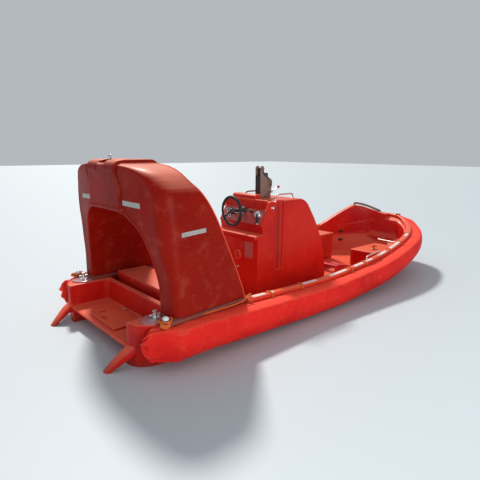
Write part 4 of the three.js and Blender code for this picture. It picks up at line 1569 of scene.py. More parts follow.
@dataclass
class CanopyArch:
    """The righting arch aft with its tunnel, proud band, pads, foot and tape."""

    levels: Table = (
        (0.456, 0.318, 1.22, 1.045, 0.975, 0.1), (0.7, 0.316, 1.14, 1.036, 0.98, 0.1),
        (0.94, 0.288, 1.037, 1.018, 0.982, 0.13), (1.14, 0.264, 0.945, 1.006, 0.986, 0.16),
        (1.33, 0.244, 0.852, 1.0, 0.99, 0.17), (1.49, 0.238, 0.764, 0.988, 0.978, 0.17),
        (1.6, 0.234, 0.69, 0.964, 0.95, 0.17), (1.68, 0.224, 0.624, 0.905, 0.89, 0.17),
        (1.757, 0.211, 0.585, 0.812, 0.8, 0.17), (1.8, 0.209, 0.578, 0.705, 0.69, 0.165),
        (1.826, 0.211, 0.58, 0.56, 0.55, 0.15), (1.84, 0.222, 0.59, 0.38, 0.38, 0.1))
    crown: Triple = (1.0, 1.33, 0.07)
    band: Pair = (0.366, 0.328)
    pad: Triple = (0.08, 0.318, 1.882)
    tunnel: Table = (
        (0.79, 0.3), (0.79, 0.6), (0.783, 0.7), (0.765, 0.8), (0.738, 0.9), (0.704, 1.0), (0.661, 1.1),
        (0.606, 1.2), (0.567, 1.25), (0.512, 1.3), (0.466, 1.33), (0.41, 1.358), (0.35, 1.378), (0.28, 1.385))
    band_side: Table = (
        (0.3, 1.375), (0.166, 1.375), (0.164, 1.48), (0.15, 1.74), (0.152, 1.772), (0.168, 1.8), (0.2, 1.816),
        (0.25, 1.82), (0.56, 1.83), (0.585, 1.81), (0.585, 1.6), (0.4, 1.4))
    foot_outline: Table = (
        (0.33, 0.762), (1.195, 0.762), (1.243, 0.93), (1.238, 1.0), (0.42, 1.072), (0.215, 1.072),
        (0.19, 1.05), (0.19, 0.975), (0.214, 0.953), (0.304, 0.93), (0.306, 0.79))
    base_profile: Table = (
        (0, 0), (0.034, 0), (0.034, 0.045), (0.04, 0.048), (0.04, 0.062), (0.036, 0.066), (0.0, 0.066))
    ring: Triple = (0.262, 1.903, 0.023)
    skin: tuple[float, int] = (0.01, 4)
    groove_rows: Table = (
        (1.362, 0.368, 0.014, 0.19), (1.42, 0.364, 0.022, 0.206), (1.6, 0.346, 0.032, 0.204),
        (1.76, 0.322, 0.042, 0.19), (1.81, 0.318, 0.044, 0.2), (1.9, 0.318, 0.046, 0.215))

    def at(self, z: float, column: int) -> float:
        """A column of the levels at a height.

        Args:
            z: the height.
            column: 1 rear face, 2 front edge, 3 half breadth aft, 4 ahead, 5 rear corner.

        Returns:
            The value.
        """
        return along_table([(row[0], row[column]) for row in self.levels], z)

    def rear(self, y: float, z: float) -> float:
        """The rear face, crowned between the shoulders.

        Args:
            y: across the boat.
            z: the height.

        Returns:
            The station of the face.
        """
        low, high, depth = self.crown
        share = clamp((z - low) / (high - low))
        return self.at(z, 1) - depth * share * max(1 - (y / 0.8) ** 2, 0)

    def outer(self) -> Form:
        """The outer form before anything is cut.

        Returns:
            The form.
        """
        top = self.levels[-1][0]
        low, knee = self.levels[0][0], self.levels[8][0]
        heights = sorted({low + (1.74 - low) * k / 36 for k in range(37)}
                         | {knee + (top - knee) * k / 10 for k in range(11)})
        rings = []
        for z in heights:
            front, half, ahead, corner = (self.at(z, c) for c in (2, 3, 4, 5))
            edge = self.rear(half - corner, z)
            port = [(front + (edge + corner - front) * k / 8, ahead + (half - ahead) * k / 8)
                    for k in range(8)]
            for k in range(15):
                turn = k / 14 * QUARTER
                port.append((edge + corner * (1 - sin(turn)), half - corner * (1 - cos(turn))))
            for k in range(1, 16):
                y = (half - corner) * (1 - k / 15)
                port.append((self.rear(y, z), y))
            rings.append([(x, y, z) for x, y in port] + [(x, -y, z) for x, y in reversed(port[:-1])])
        return Form.loft(rings)

    def tunnel_space(self) -> Form:
        """The tunnel."""
        return Form.slab([*self.tunnel, *[(-y, z) for y, z in reversed(self.tunnel)]], "x", 0.0, 1.4)

    def band_form(self) -> Form:
        """The middle band over the rear and top, narrower towards its top.

        Returns:
            The form.
        """
        wide, narrow = self.band

        def taper(spot: Vector) -> Point:
            """Draws the sides in towards the top."""
            share = clamp((spot.z - 1.385) / 0.4)
            return (spot.x, spot.y * (wide + (narrow - wide) * share), spot.z)

        return Form.slab(corners(self.band_side, 0.02, 4), "y", -1.0, 1.0).bent(taper).rounded(0.012, 4, 50)

    def pads(self) -> Form:
        """The two raised pads that wrap over the rear edge of the top.

        Returns:
            The form.
        """
        inner, outer, top = self.pad
        side = [(0.2, 1.77), (0.136, 1.768), (0.131, 1.79), (0.14, 1.826), (0.162, 1.858), (0.2, 1.877),
                (0.25, top), (0.56, top + 0.002), (0.6, top - 0.01), (0.64, 1.835), (0.6, 1.7), (0.3, 1.7)]
        port = Form.slab(corners(side, 0.03, 5), "y", inner, outer)
        port.bent(lambda p: (p.x, p.y - 0.02 * clamp((1.86 - p.z) / 0.09) * (p.y > 0.2), p.z))
        port.rounded(0.014, 4, 50)
        return port.beside(port.other_side())

    def groove(self, side: int) -> Form:
        """The valley between the band and a shoulder.

        Args:
            side: 1 to port, -1 to starboard.

        Returns:
            The form that is cut out.
        """
        rings = []
        for z, start, width, floor in self.groove_rows:
            rings.append([(0.0, side * start, z), (floor, side * start, z),
                          (floor, side * (start + width * 0.6), z), (floor - 0.05, side * (start + width), z),
                          (0.0, side * (start + width + 0.01), z)])
        return Form.loft(rings)

    def bead(self) -> Form:
        """The rounded frame round the tunnel's mouth.

        Returns:
            The form.
        """
        line = [(y + 0.022, z) for y, z in self.tunnel if z > 0.45]
        line = [(self.tunnel[0][0] + 0.022, 0.456), *line[:-2], (0.372, 1.392), (0.3, 1.402), (0.0, 1.404)]
        flat = [Vector((y, z)) for y, z in line]
        spots = []
        for a, b in zip(flat, flat[1:]):
            count = max(int((b - a).length / 0.02), 1)
            spots += [a.lerp(b, k / count) for k in range(count)]
        port = []
        for spot in spots:
            y, z = spot
            proud = self.rear(y, z)
            share = clamp((0.39 - y) / 0.03)
            port.append((proud + (0.166 - proud) * share + 0.01, y, z))
        port.append((0.176, 0.0, line[-1][1]))
        return Form.tube([*port, *[(x, -y, z) for x, y, z in reversed(port[:-1])]], 0.021, 12)

    def rim(self) -> Form:
        """The thin rim up both front edges.

        Returns:
            The form.
        """
        spots = []
        for k in range(70):
            z = 0.456 + (1.838 - 0.456) * k / 69
            spots.append((self.at(z, 2) - 0.003, self.at(z, 4) - 0.004, z))
        line = [*spots, (0.596, 0.33, 1.842)]
        return Form.tube(line, 0.0065, 8).beside(Form.tube([(x, -y, z) for x, y, z in line], 0.0065, 8))

    def tapes(self) -> Form:
        """The tape strips on the rear and the sides, painted grey as shaded tape.

        Returns:
            The form.
        """
        made = []
        for side in (1, -1):
            strip = []
            for k in range(13):
                y = 0.385 + 0.275 * k / 12
                z = 1.478 - 0.01 * k / 12
                face = self.rear(y, z)
                strip.append([(face - 0.0025, side * y, z - 0.024), (face - 0.0025, side * y, z + 0.024),
                              (face + 0.006, side * y, z + 0.024), (face + 0.006, side * y, z - 0.024)])
            made.append(Form.loft(strip))
            strip = []
            for k in range(9):
                x, z = 0.436 + 0.278 * k / 8, 1.221 + 0.016 * k / 8
                rear, front = self.rear(0.8, z) + self.at(z, 5), self.at(z, 2)
                inner, outer = self.at(z, 3), self.at(z, 4)
                wall = inner + (outer - inner) * clamp((x - rear) / (front - rear)) + 0.002
                strip.append([(x, side * wall, z - 0.021), (x, side * wall, z + 0.021),
                              (x, side * (wall - 0.008), z + 0.021), (x, side * (wall - 0.008), z - 0.021)])
            made.append(Form.loft(strip))
        return Form.group(made)

    def foot(self, side: int) -> Form:
        """The flange on the deck with the tab of the quarter light.

        Args:
            side: 1 to port, -1 to starboard.

        Returns:
            The form.
        """
        flat = [(x, side * y) for x, y in corners(self.foot_outline, 0.02, 4)]
        return Form.slab(flat, "z", LINES.deck + GAP, 0.4557).rounded(0.006, 3, 50)

    def build(self) -> None:
        """Builds and dresses the arch."""
        arch = self.outer().cut(self.groove(1), self.groove(-1)).fused(self.band_form()).fused(self.pads())
        arch.cut(self.tunnel_space())
        arch.fused(self.bead().kept(Form.block((0, -WIDE, self.levels[0][0]), (1, WIDE, 1.6))))
        arch.moulded(*self.skin).piece("canopy_arch", Finish.CANOPY, "canopy", crease=Crease.MOULDED)
        # Painted highlight: the front edges' rim wears the lighter lip gelcoat over the canopy's own.
        self.rim().piece("canopy_rim", Finish.LIP, slot="canopy_gelcoat")
        self.tapes().piece("canopy_tape", Finish.SHADED_TAPE)
        for name, side in SIDES:
            flange = self.foot(side)
            flange.piece(f"canopy_foot_{name}", Finish.FLANGE, f"canopy_flange_{name}")
        base = Form.turned(self.base_profile, (0.262, 0, 1.8163))
        base.piece("lifting_base", Finish.BLACK, "arch_ring")
        x, z, radius = self.ring
        ring = [(x, radius * cos(t), z + radius * sin(t)) for t in angles(32)]
        Form.tube(ring, 0.006, 12, looped=True).piece("lifting_ring", Finish.STEEL)


@dataclass
class HelmStation:
    """The console with its shelf, dash, wheel, throttle and vent."""

    half: float = 0.42
    aft: float = 1.895
    front: float = 2.24
    top: float = 1.345
    foot: Pair = (2.0, 1.05)
    slope: Pair = (0.528, 0.849)
    wheel: Triple = (1.87, 1.212, 0.186)
    gauges: Table = (
        (0.03, 0.152, 0.04), (0.13, 0.152, 0.04), (0.225, 0.15, 0.034), (0.31, 0.15, 0.034),
        (0.225, 0.062, 0.026), (0.31, 0.062, 0.026))
    vent_profile: Table = (
        (0, 0), (0.064, 0), (0.066, 0.006), (0.064, 0.014), (0.056, 0.022), (0.046, 0.024), (0.04, 0.02),
        (0.036, 0.01), (0.022, 0.01), (0.018, 0.02), (0.01, 0.024), (0, 0.024))
    knob_profile: Table = (
        (0, 0), (0.013, 0), (0.012, 0.006), (0.007, 0.01), (0.007, 0.016), (0.012, 0.022), (0.008, 0.028),
        (0, 0.029))
    head_profile: Table = (
        (0, 0), (0.046, 0), (0.047, 0.01), (0.047, 0.03), (0.042, 0.038), (0.022, 0.041), (0, 0.042))
    button_profile: Table = (
        (0, 0), (0.016, 0), (0.016, 0.006), (0.01, 0.01), (0.018, 0.022), (0.018, 0.03), (0.01, 0.036),
        (0, 0.037))
    skin: tuple[float, int] = (0.0095, 9)
    cable: Table = (
        (-0.235, 0.15, 0.01), (-0.238, 0.145, 0.026), (-0.232, 0.1, 0.034), (-0.25, 0.055, 0.03),
        (-0.29, 0.04, 0.024), (-0.31, 0.032, 0.01))

    def on_dash(self, y: float, up: float, out: float) -> Vector:
        """A spot on the sloping dash.

        Args:
            y: across the boat.
            up: up its face.
            out: out of its face.

        Returns:
            The spot.
        """
        x, z = self.foot
        a, b = self.slope
        return Vector((x + up * a - out * b, y, z + up * b + out * a))

    def profile(self) -> list[Pair]:
        """The console's side, up its front and down its aft face.

        Returns:
            The side, as [x, z].
        """
        aft, front, top = self.aft, self.front, self.top
        return [(aft + 0.05, 0.1303), (front, 0.1303), (front, top), (aft + 0.245, top),
                (aft + 0.23, top - 0.01), (aft + 0.22, 1.235), self.foot, (aft + 0.125, 1.04),
                (aft + 0.135, 0.935), (aft + 0.012, 0.932), (aft, 0.92), (aft, 0.898), (aft + 0.01, 0.886),
                (aft + 0.05, 0.868)]

    def shell(self) -> Form:
        """The console's moulding with its cowl.

        Returns:
            The form.
        """
        body = Form.slab(self.profile(), "y", -self.half, self.half).moulded(*self.skin)
        top, front = self.top, self.front
        cowl = [(self.aft + 0.245, top - 0.06), (front, top - 0.06), (front, 1.415),
                (self.aft + 0.262, 1.414), (self.aft + 0.24, 1.392)]
        hood = Form.slab(cowl, "y", -0.15, 0.3).rounded(0.014, 4, 40)
        return body.beside(hood)

    def dash(self) -> Form:
        """The panel on the dash.

        Returns:
            The form.
        """
        outline = corners([(-0.38, 0.01), (0.38, 0.01), (0.38, 0.208), (-0.38, 0.208)], 0.03, 5)
        rings = [[tuple(self.on_dash(y, up, out)) for y, up in outline] for out in (GAP, 0.008)]
        return Form.loft(rings).rounded(0.003, 2, 50)

    def dials(self) -> tuple[Form, Form]:
        """The gauges' rims and faces.

        Returns:
            The rims and the faces.
        """
        axis = (-self.slope[1], 0, self.slope[0])
        rims, faces = [], []
        for y, up, radius in self.gauges:
            at = self.on_dash(y, up, 0.0)
            profile = [(radius - 0.008, 0.006), (radius, 0.006), (radius, 0.017), (radius - 0.002, 0.02),
                       (radius - 0.006, 0.02), (radius - 0.008, 0.016)]
            rims.append(Form.turned([*profile, profile[0]], at, axis, 32))
            faces.append(Form.turned([(0, 0.006), (radius - 0.008, 0.006), (radius - 0.008, 0.0135),
                                      (0, 0.0135)], at, axis, 32))
        return Form.group(rims), Form.group(faces)

    def wheel_form(self) -> tuple[Form, Form]:
        """The steering wheel's grip and its spokes with the hub.

        Returns:
            The grip, and the spokes with the hub.
        """
        x, z, radius = self.wheel
        turn = Vector((0, 0, 1)).rotation_difference(Vector((-1, 0, 0))).to_matrix().to_4x4()
        place = Matrix.Translation((x, 0, z)) @ turn
        ring = [place @ Vector((radius * cos(t), radius * sin(t), 0)) for t in angles(64)]
        grip = Form.tube(ring, 0.0142, 14, looped=True)
        parts = [Form.turned([(0, -0.018), (0.04, -0.018), (0.04, 0.004), (0.03, 0.018), (0, 0.02)],
                             (0, 0, 0))]
        inner = [Vector(((radius - 0.022) * cos(t), (radius - 0.022) * sin(t), 0.004))
                 for t in angles(64)]
        parts.append(Form.tube(inner, 0.006, 10, looped=True))
        for turn in angles(3):
            tip = Vector((radius * cos(turn), radius * sin(turn), 0))
            parts.append(Form.tube(curve([(0, 0, 0), tip * 0.5 + raised(-0.004), tip], 6), 0.009, 10,
                                   flat=0.6))
        return grip, Form.group(parts).placed(place)

    def build(self) -> None:
        """Builds and dresses the station."""
        self.shell().piece("console_shell", Finish.HULL, "console", crease=Crease.MOULDED)
        self.dash().piece("dash_plate", Finish.DASH, "dash_panel")
        rims, faces = self.dials()
        rims.piece("gauge_rims", Finish.STEEL)
        faces.piece("gauge_faces", Finish.DIAL)
        x, z, _ = self.wheel
        reach = 2.101 - x - 0.0185
        column = [(0, 0), (0.046, 0), (0.042, 0.03), (0.03, 0.045), (0.02, 0.055), (0.02, reach), (0, reach)]
        clear = [self.on_dash(0, up, out)
                 for up, out in ((-0.1, 0.0084), (0.212, 0.0084), (0.212, 0.4), (-0.1, 0.4))]
        block = Form.slab([(p.x, p.z) for p in clear], "y", -0.2, 0.2)
        Form.turned(column, (2.101, 0, z), (-1, 0, 0)).kept(block).piece("wheel_column", Finish.BLACK)
        grip, spokes = self.wheel_form()
        grip.piece("wheel_grip", Finish.BLACK, "steering_wheel", body="wheel")
        spokes.piece("wheel_spokes", Finish.BLACK, body="wheel")
        self.trim()
        self.throttle()

    def trim(self) -> None:
        """The rim over the dash and the bead along its top in the lighter lip gelcoat as a painted highlight,
        the vent with its knob and the plates on the aft face.
        """
        x, z = self.aft + 0.238, self.top + 0.003
        end = self.half - 0.03
        rim = [(x - 0.05, -end - 0.012, z - 0.12), (x - 0.014, -end - 0.01, z - 0.04),
               (x - 0.002, -end + 0.004, z - 0.01), (x, -end + 0.03, z)]
        path = curve([*rim, (x, -0.2, z), (x, 0.2, z), *[(a, -b, c) for a, b, c in reversed(rim)]], 6)
        # Painted highlight: rim and bead wear the lighter lip gelcoat over the hull's own.
        Form.tube(path, 0.011, 12).piece("dash_rim", Finish.LIP, slot="hull_gelcoat")
        shelf = [self.on_dash(y, 0.214, 0.002) for y in (-0.375, -0.2, 0.2, 0.375)]
        Form.tube(curve(shelf, 6), 0.006, 12).piece("dash_bead", Finish.LIP, slot="hull_gelcoat")
        face = self.aft + 0.05
        vent = Form.turned(self.vent_profile, (face - GAP, -0.041, 0.64), (-1, 0, 0), 48)
        vent.piece("vent_ring", Finish.HULL, "console_vent")
        knob = Form.turned(self.knob_profile, (face - GAP, -0.05, 0.483), (-1, 0, 0), 24)
        knob.piece("drain_knob", Finish.STEEL)
        plate = corners([(-0.32, 0.63), (-0.17, 0.63), (-0.17, 0.838), (-0.32, 0.838)], 0.01, 4)
        Form.slab(plate, "x", face - 0.0035, face - GAP).piece("aft_plate", Finish.DASH)

    def throttle(self) -> None:
        """The engine control on the dash, with its cable and the two knobs beside it."""
        axis = (-self.slope[1], 0, self.slope[0])
        seat = Form.turned([(0, 0.0083), (0.05, 0.0083), (0.05, 0.013), (0, 0.013)],
                           self.on_dash(-0.3, 0.137, 0), axis, 40)
        head = Form.turned(self.head_profile, self.on_dash(-0.3, 0.137, 0.0085), axis, 40)
        head.beside(seat).piece("throttle_head", Finish.STEEL, "throttle")
        root, tip = self.on_dash(-0.3, 0.137, 0.04), Vector((1.99, -0.35, 1.076))
        lever = curve([root, root.lerp(tip, 0.5) + Vector((-0.008, 0, 0)), tip], 6)
        sizes = [0.017 - 0.005 * k / (len(lever) - 1) for k in range(len(lever))]
        Form.tube(lever, sizes, 14).piece("throttle_lever", Finish.BLACK)
        Form.ball(0.0135, tuple(tip)).piece("throttle_tip", Finish.STEEL)
        cable = curve([self.on_dash(*row) for row in self.cable], 8)
        Form.tube(cable, 0.0065, 12).piece("throttle_cable", Finish.RED)
        start = Form.turned(self.button_profile, self.on_dash(-0.15, 0.172, 0.0083), axis, 28)
        start.piece("start_knob", Finish.BLACK)
        stop = Form.turned(self.button_profile, (2.175, -self.half - GAP, 1.268), (0, -1, 0), 28)
        stop.piece("stop_knob", Finish.STEEL)


@dataclass
class EngineHousing:
    """The moulded casing over the engine, with its rails."""

    half: float = 0.42
    aft: float = 2.242
    top: float = 1.35
    groove: tuple[float, float, float, float] = (2.332, 0.068, 0.048, 0.445)
    skin: tuple[float, int] = (0.0115, 24)
    inside: Table = (
        (2.275, 0.1), (3.3, 0.1), (3.255, 0.48), (3.16, 0.76), (3.03, 1.0), (2.84, 1.26), (2.76, 1.32),
        (2.275, 1.32))
    rail_y: float = 0.3
    rail_line: Table = (
        (2.385, 0), (2.385, 0.038), (2.4, 0.057), (2.43, 0.062), (2.537, 0.062), (2.645, 0.062),
        (2.675, 0.057), (2.69, 0.038), (2.69, 0))

    def shell(self) -> Form:
        """The casing.

        Returns:
            The form.
        """
        t = self.top
        side = [(self.aft, 0.1303), (3.335, 0.1303), (3.29, 0.48), (3.195, 0.767), (3.065, 1.019),
                (2.88, 1.285), (2.8, 1.335), (2.74, t), (self.aft + 0.045, t), (self.aft, t - 0.025)]
        body = Form.slab(corners(side, 0.09, 6), "y", -self.half, self.half).moulded(*self.skin)
        body.cut(Form.slab(self.inside, "y", -0.37, 0.37))
        middle, half, deep, foot = self.groove
        for side_ in (1, -1):
            oval = [(middle + half * cos(t), side_ * self.half + deep * sin(t)) for t in angles(48)]
            body.cut(Form.slab(oval, "z", foot, self.top + 0.05))
        return body

    def build(self) -> None:
        """Builds and dresses the casing."""
        self.shell().piece("casing_shell", Finish.HULL, "engine_casing", crease=Crease.MOULDED)
        for name, side in SIDES:
            y, z = side * self.rail_y, self.top + GAP
            spots = [(x, y, z + h) for x, h in self.rail_line]
            rail = Form.tube(curve(spots, 6), 0.011, 16)
            feet = [Form.turned([(0, 0), (0.022, 0), (0.022, 0.003), (0.013, 0.007), (0, 0.007)], (x, y, z),
                                sides=24) for x in (self.rail_line[0][0], self.rail_line[-1][0])]
            middle, half, deep, foot = self.groove
            # Painted shade: a dark strip over the aft part of each groove.
            strip = []
            for k in range(13):
                turn = pi * (0.36 + 0.6 * k / 12)
                x, y = middle + half * cos(turn), side * (self.half - deep * sin(turn))
                strip.append([(x, y + side * h, z)
                              for h, z in ((-0.001, foot + 0.012), (0.0012, foot + 0.012),
                                           (0.0012, self.top - 0.07), (-0.001, self.top - 0.07))])
            Form.loft(strip).piece(f"groove_shade_{name}", Finish.GROOVE)
            # Painted light: the starboard rail wears the warm reflecting steel, the port rail the grey-brown
            # finish as a shaded copy of the same steel.
            rail_light = Finish.RAIL if side < 0 else Finish.GREY
            rail.beside(*feet).piece(f"rail_{name}", rail_light, f"casing_rail_{name}", slot="steel")


@dataclass
class LiftingGear:
    """The hook in its cheeks on the red pedestal, with the release lever."""

    x: float = 2.33
    foot: float = 1.3503
    gap: float = 0.09
    plate: float = 0.012
    pin: Pair = (2.37, 1.735)
    edge_outline: Table = (
        (0.206, 1.578), (0.07, 1.664), (0.056, 1.69), (0.054, 1.735), (0.044, 1.735), (0.044, 1.68),
        (0.062, 1.65), (0.19, 1.568))
    bolts: Table = ((2.49, 1.406, 0.011), (2.5, 1.589, 0.009))
    cheek_side: Table = (
        (0.196, 1.449), (0.22, 1.53), (0.214, 1.584), (0.072, 1.674), (0.062, 1.7), (0.06, 1.762),
        (0.04, 1.778), (0.008, 1.77), (0, 1.75))
    jaw_side: Table = (
        (-0.018, 0.016), (0.018, 0.016), (0.022, -0.06), (0.04, -0.105), (0.078, -0.112), (0.098, -0.084),
        (0.1, -0.052), (0.12, -0.058), (0.124, -0.096), (0.104, -0.138), (0.062, -0.158), (0.014, -0.142),
        (-0.016, -0.09))

    def cheek(self, y: float) -> Form:
        """A cheek plate.

        Args:
            y: its middle across the boat.

        Returns:
            The form.
        """
        outline = [(self.x + a, z) for a, z in ((0, self.foot), (0.192, self.foot), *self.cheek_side)]
        half = self.plate / 2
        return Form.slab(corners(outline, 0.02, 5), "y", y - half, y + half).rounded(0.002, 2, 50)

    def build(self) -> None:
        """Builds and dresses the gear."""
        x, foot = self.x, self.foot
        base = [(x + 0.0095, foot), (x + 0.186, foot), (x + 0.172, foot + 0.034), (x + 0.0095, foot + 0.034)]
        seat = Form.slab(base, "y", -0.0387, 0.0387).rounded(0.006, 3, 40)
        seat.piece("hook_seat", Finish.HULL, "hook_pedestal")
        side = self.gap / 2
        parts = [self.cheek(side), self.cheek(-side), Form.block((x, -side, foot), (x + 0.009, side, 1.64))]
        head = 0.01
        for at, z, radius in (*self.bolts, (*self.pin, 0.01)):
            rim, inner, far = radius + 0.008, 2 * side + 0.012 - head + 0.02, 2 * side + 0.032
            profile = [(0, 0), (rim, 0), (rim, head), (radius, head), (radius, inner), (rim, inner),
                       (rim, far), (0, far)]
            parts.append(Form.turned(profile, (at, side + 0.016, z), (0, -1, 0), 28))
        for at, z in ((x + 0.03, 1.372), (x + 0.1, 1.372), (x + 0.165, 1.372)):
            for end in (1, -1):
                parts.append(Form.turned([(0, 0), (0.011, 0), (0.011, 0.007), (0.006, 0.009), (0, 0.009)],
                                         (at, end * (side + self.plate / 2), z), (0, end, 0), 6))
        Form.group(parts).piece("hook_cheeks", Finish.HOOK, "hook_frame")
        strips = [Form.slab([(x + a, b) for a, b in self.edge_outline], "y", y - self.plate / 2 - 0.0012,
                            y + self.plate / 2 + 0.0012) for y in (side, -side)]
        strips.append(Form.block((x - 0.0012, -side, foot + 0.004), (x - GAP, side, 1.64)))
        Form.group(strips).piece("hook_edges", Finish.DARK_IRON)
        self.jaw().piece("hook_bill", Finish.DARK_IRON, "hook_jaw", body="jaw")
        self.lever()

    def jaw(self) -> Form:
        """The hook.

        Returns:
            The form.
        """
        x, z = self.pin
        outline = [(x + a, z + b) for a, b in self.jaw_side]
        body = Form.slab(corners(outline, 0.012, 4), "y", -0.026, 0.026)
        bore = Form.turned([(0, -0.04), (0.0105, -0.04), (0.0105, 0.04), (0, 0.04)], (x, 0, z), (0, 1, 0), 32)
        return body.cut(bore).rounded(0.005, 3, 50)

    def lever(self) -> None:
        """The release lever with its red ball."""
        at = Vector((self.x + 0.18, -0.078, 1.432))
        line = curve([at, at + Vector((0.05, 0, 0.018)), Vector((2.634, -0.078, 1.486))], 8)
        arm = Form.tube(line, 0.007, 12)
        boss = Form.turned([(0, 0), (0.017, 0), (0.017, 0.036), (0.013, 0.041), (0, 0.041)],
                           (at.x, -self.gap / 2 - self.plate / 2 - GAP, at.z), (0, -1, 0), 28)
        arm.beside(boss).piece("lever_arm", Finish.STEEL, "release_lever")
        Form.ball(0.02, (2.642, -0.078, 1.489), 17, 28).piece("lever_ball", Finish.RED)


@dataclass
class Fittings:
    """Benches, lockers, rails and the gear on the stern and bow."""

    bollard_at: Pair = (0.226, 0.84)
    deck_pad: float = 0.439
    bench_side: Table = ((0.64, 0.1303), (1.01, 0.1303), (1.01, 0.47), (1.0, 0.5), (0.61, 0.5), (0.602, 0.47))
    locker_outline: Table = ((4.27, -0.64), (4.88, -0.64), (5.0, -0.53), (5.0, -0.19), (4.27, -0.19))
    board_outline: Table = ((3.6, 0.1303), (4.08, 0.1303), (4.11, 0.175), (3.72, 0.262), (3.64, 0.262))
    bollard_profile: Table = (
        (0, 0), (0.05, 0), (0.05, 0.005), (0.047, 0.007), (0.024, 0.011), (0.018, 0.018), (0.016, 0.028),
        (0.016, 0.061), (0.022, 0.068), (0.023, 0.076), (0.016, 0.082), (0, 0.084))
    dome_profile: Table = (
        (0, 0.016), (0.031, 0.016), (0.03, 0.034), (0.024, 0.045), (0.013, 0.052), (0, 0.053))
    guard_rows: Table = (
        (0.11, 0.69, 0.835, 0.205, 0.13), (0.02, 0.685, 0.835, 0.215, 0.115),
        (-0.06, 0.68, 0.815, 0.165, 0.075), (-0.14, 0.668, 0.785, 0.095, 0.028),
        (-0.21, 0.66, 0.755, 0.03, -0.028), (-0.27, 0.668, 0.738, -0.03, -0.068),
        (-0.3, 0.68, 0.722, -0.058, -0.082))
    bow_rail: Table = (
        (5.47, -0.112, 0.398), (5.3, -0.11, 0.418), (5.225, -0.13, 0.42), (5.205, -0.3, 0.42),
        (5.195, -0.48, 0.42), (5.25, -0.52, 0.418), (5.33, -0.553, 0.405))
    guard_skin: tuple[float, int] = (0.009, 8)
    lip_rails: tuple[tuple, ...] = (
        ("starboard", -1, 3.52, 3.84, 0.052, 0.011, Finish.RAIL),
        ("port", 1, 5.43, 5.74, 0.034, 0.02, Finish.GREY))

    def bench(self) -> None:
        """The aft bench under the arch."""
        bench = Form.slab(corners(self.bench_side, 0.012, 3), "y", -0.725, 0.725).rounded(0.008, 3, 50)
        bench.piece("bench", Finish.HULL, "aft_bench")

    def lockers(self) -> None:
        """The port seat locker and the bow locker."""
        seat = Form.block((3.48, 0.285, 0.1303), (4.42, 0.88, 0.56)).rounded(0.012, 4)
        lid = Form.block((3.47, 0.275, 0.559), (4.43, 0.895, 0.582)).rounded(0.007, 3)
        inside = Hull().cockpit().placed(Matrix.Scale(0.9985, 4))
        seat.kept(inside).beside(lid.kept(inside)).piece("seat_box", Finish.HULL, "seat_locker")
        box = Form.slab(corners(self.locker_outline, 0.02, 4), "z", 0.1303, 0.398)
        box.rounded(0.01, 3, 50).kept(inside).cut(Form.block((4.2, -0.58, 0.195), (4.33, -0.49, 0.265)))
        box.piece("bow_box", Finish.HULL, "bow_locker")

    def stretcher(self) -> None:
        """The folded foot stretcher."""
        boards = []
        for y in (-0.39, -0.06):
            board = Form.slab(corners(self.board_outline, 0.012, 3), "y", y, y + 0.024)
            boards.append(board.rounded(0.004, 2, 50))
        for x, z in ((3.66, 0.225), (3.9, 0.185)):
            boards.append(Form.block((x, -0.38, z), (x + 0.09, -0.05, z + 0.02)).rounded(0.005, 2))
        Form.group(boards).piece("stretcher_boards", Finish.RED, "stretcher")

    def painter(self) -> None:
        """The orange painter post on the bow locker."""
        x, y, z = 4.52, -0.47, 0.3983
        plate = Form.block((x - 0.055, y - 0.045, z), (x + 0.055, y + 0.045, z + 0.008)).rounded(0.003, 2)
        post = Form.turned([(0, 0.004), (0.022, 0.008), (0.016, 0.018), (0.015, 0.06), (0.019, 0.07),
                            (0.012, 0.079), (0, 0.08)], (x, y, z))
        bar = Form.tube([(x - 0.046, y + 0.018, z + 0.048), (x + 0.046, y - 0.018, z + 0.048)], 0.009, 14)
        plate.beside(post, bar).piece("painter_post", Finish.ORANGE, "painter_release")

    def bollard(self, name: str, side: int) -> None:
        """A mooring bollard with two arms.

        Args:
            name: the side's name.
            side: 1 to port, -1 to starboard.
        """
        x, y, z = self.bollard_at[0], side * self.bollard_at[1], self.deck_pad + GAP
        post = Form.turned(self.bollard_profile, (x, y, z))
        arm = Form.tube([(x - 0.046, y, z + 0.04), (x + 0.046, y, z + 0.04)], 0.009, 16)
        ends = [Form.ball(0.0094, (x + end * 0.046, y, z + 0.04)) for end in (-1, 1)]
        post.beside(arm, *ends).piece(f"bollard_{name}", Finish.STEEL, f"stern_bollard_{name}")

    def light(self, name: str, side: int) -> None:
        """A quarter light with a rope lashed round its foot.

        Args:
            name: the side's name.
            side: 1 to port, -1 to starboard.
        """
        x, y, z = 0.234, side * 1.014, 0.456
        dome = Form.turned(self.dome_profile, (x, y, z))
        dome.piece(f"light_dome_{name}", Finish.DOME, f"quarter_light_{name}")
        foot = Form.turned([(0, 0), (0.04, 0), (0.04, 0.014), (0.034, 0.02), (0, 0.02)], (x, y, z))
        foot.piece(f"light_foot_{name}", Finish.BLACK)
        turns = []
        for k, (lift, reach, phase) in enumerate(((0.006, 0.047, 0.0), (0.015, 0.049, 1.0))):
            loop = []
            for t in angles(40):
                wobble = 0.004 * sin(3 * t + phase)
                loop.append((x + (reach + wobble) * cos(t) * 1.25, y + (reach + wobble) * sin(t),
                             z + lift + 0.003 * sin(2 * t + phase)))
            turns.append(Form.tube(loop, 0.0075, 12, looped=True))
        for k in range(3):
            loop = []
            for t in angles(32):
                sag = 0.022 * max(sin(t), 0) ** 1.5
                height = 0.448 + 0.01 * k - sag + 0.002 * sin(3 * t + k)
                across = 1.056 + (0.026 - 0.003 * k) * sin(t)
                loop.append((0.205 + (0.05 - 0.006 * k) * cos(t), side * across, height))
            turns.append(Form.tube(loop, 0.0075, 12, looped=True))
        Form.group(turns).piece(f"light_lashing_{name}", Finish.ROPE, crease=Crease.ROUND)

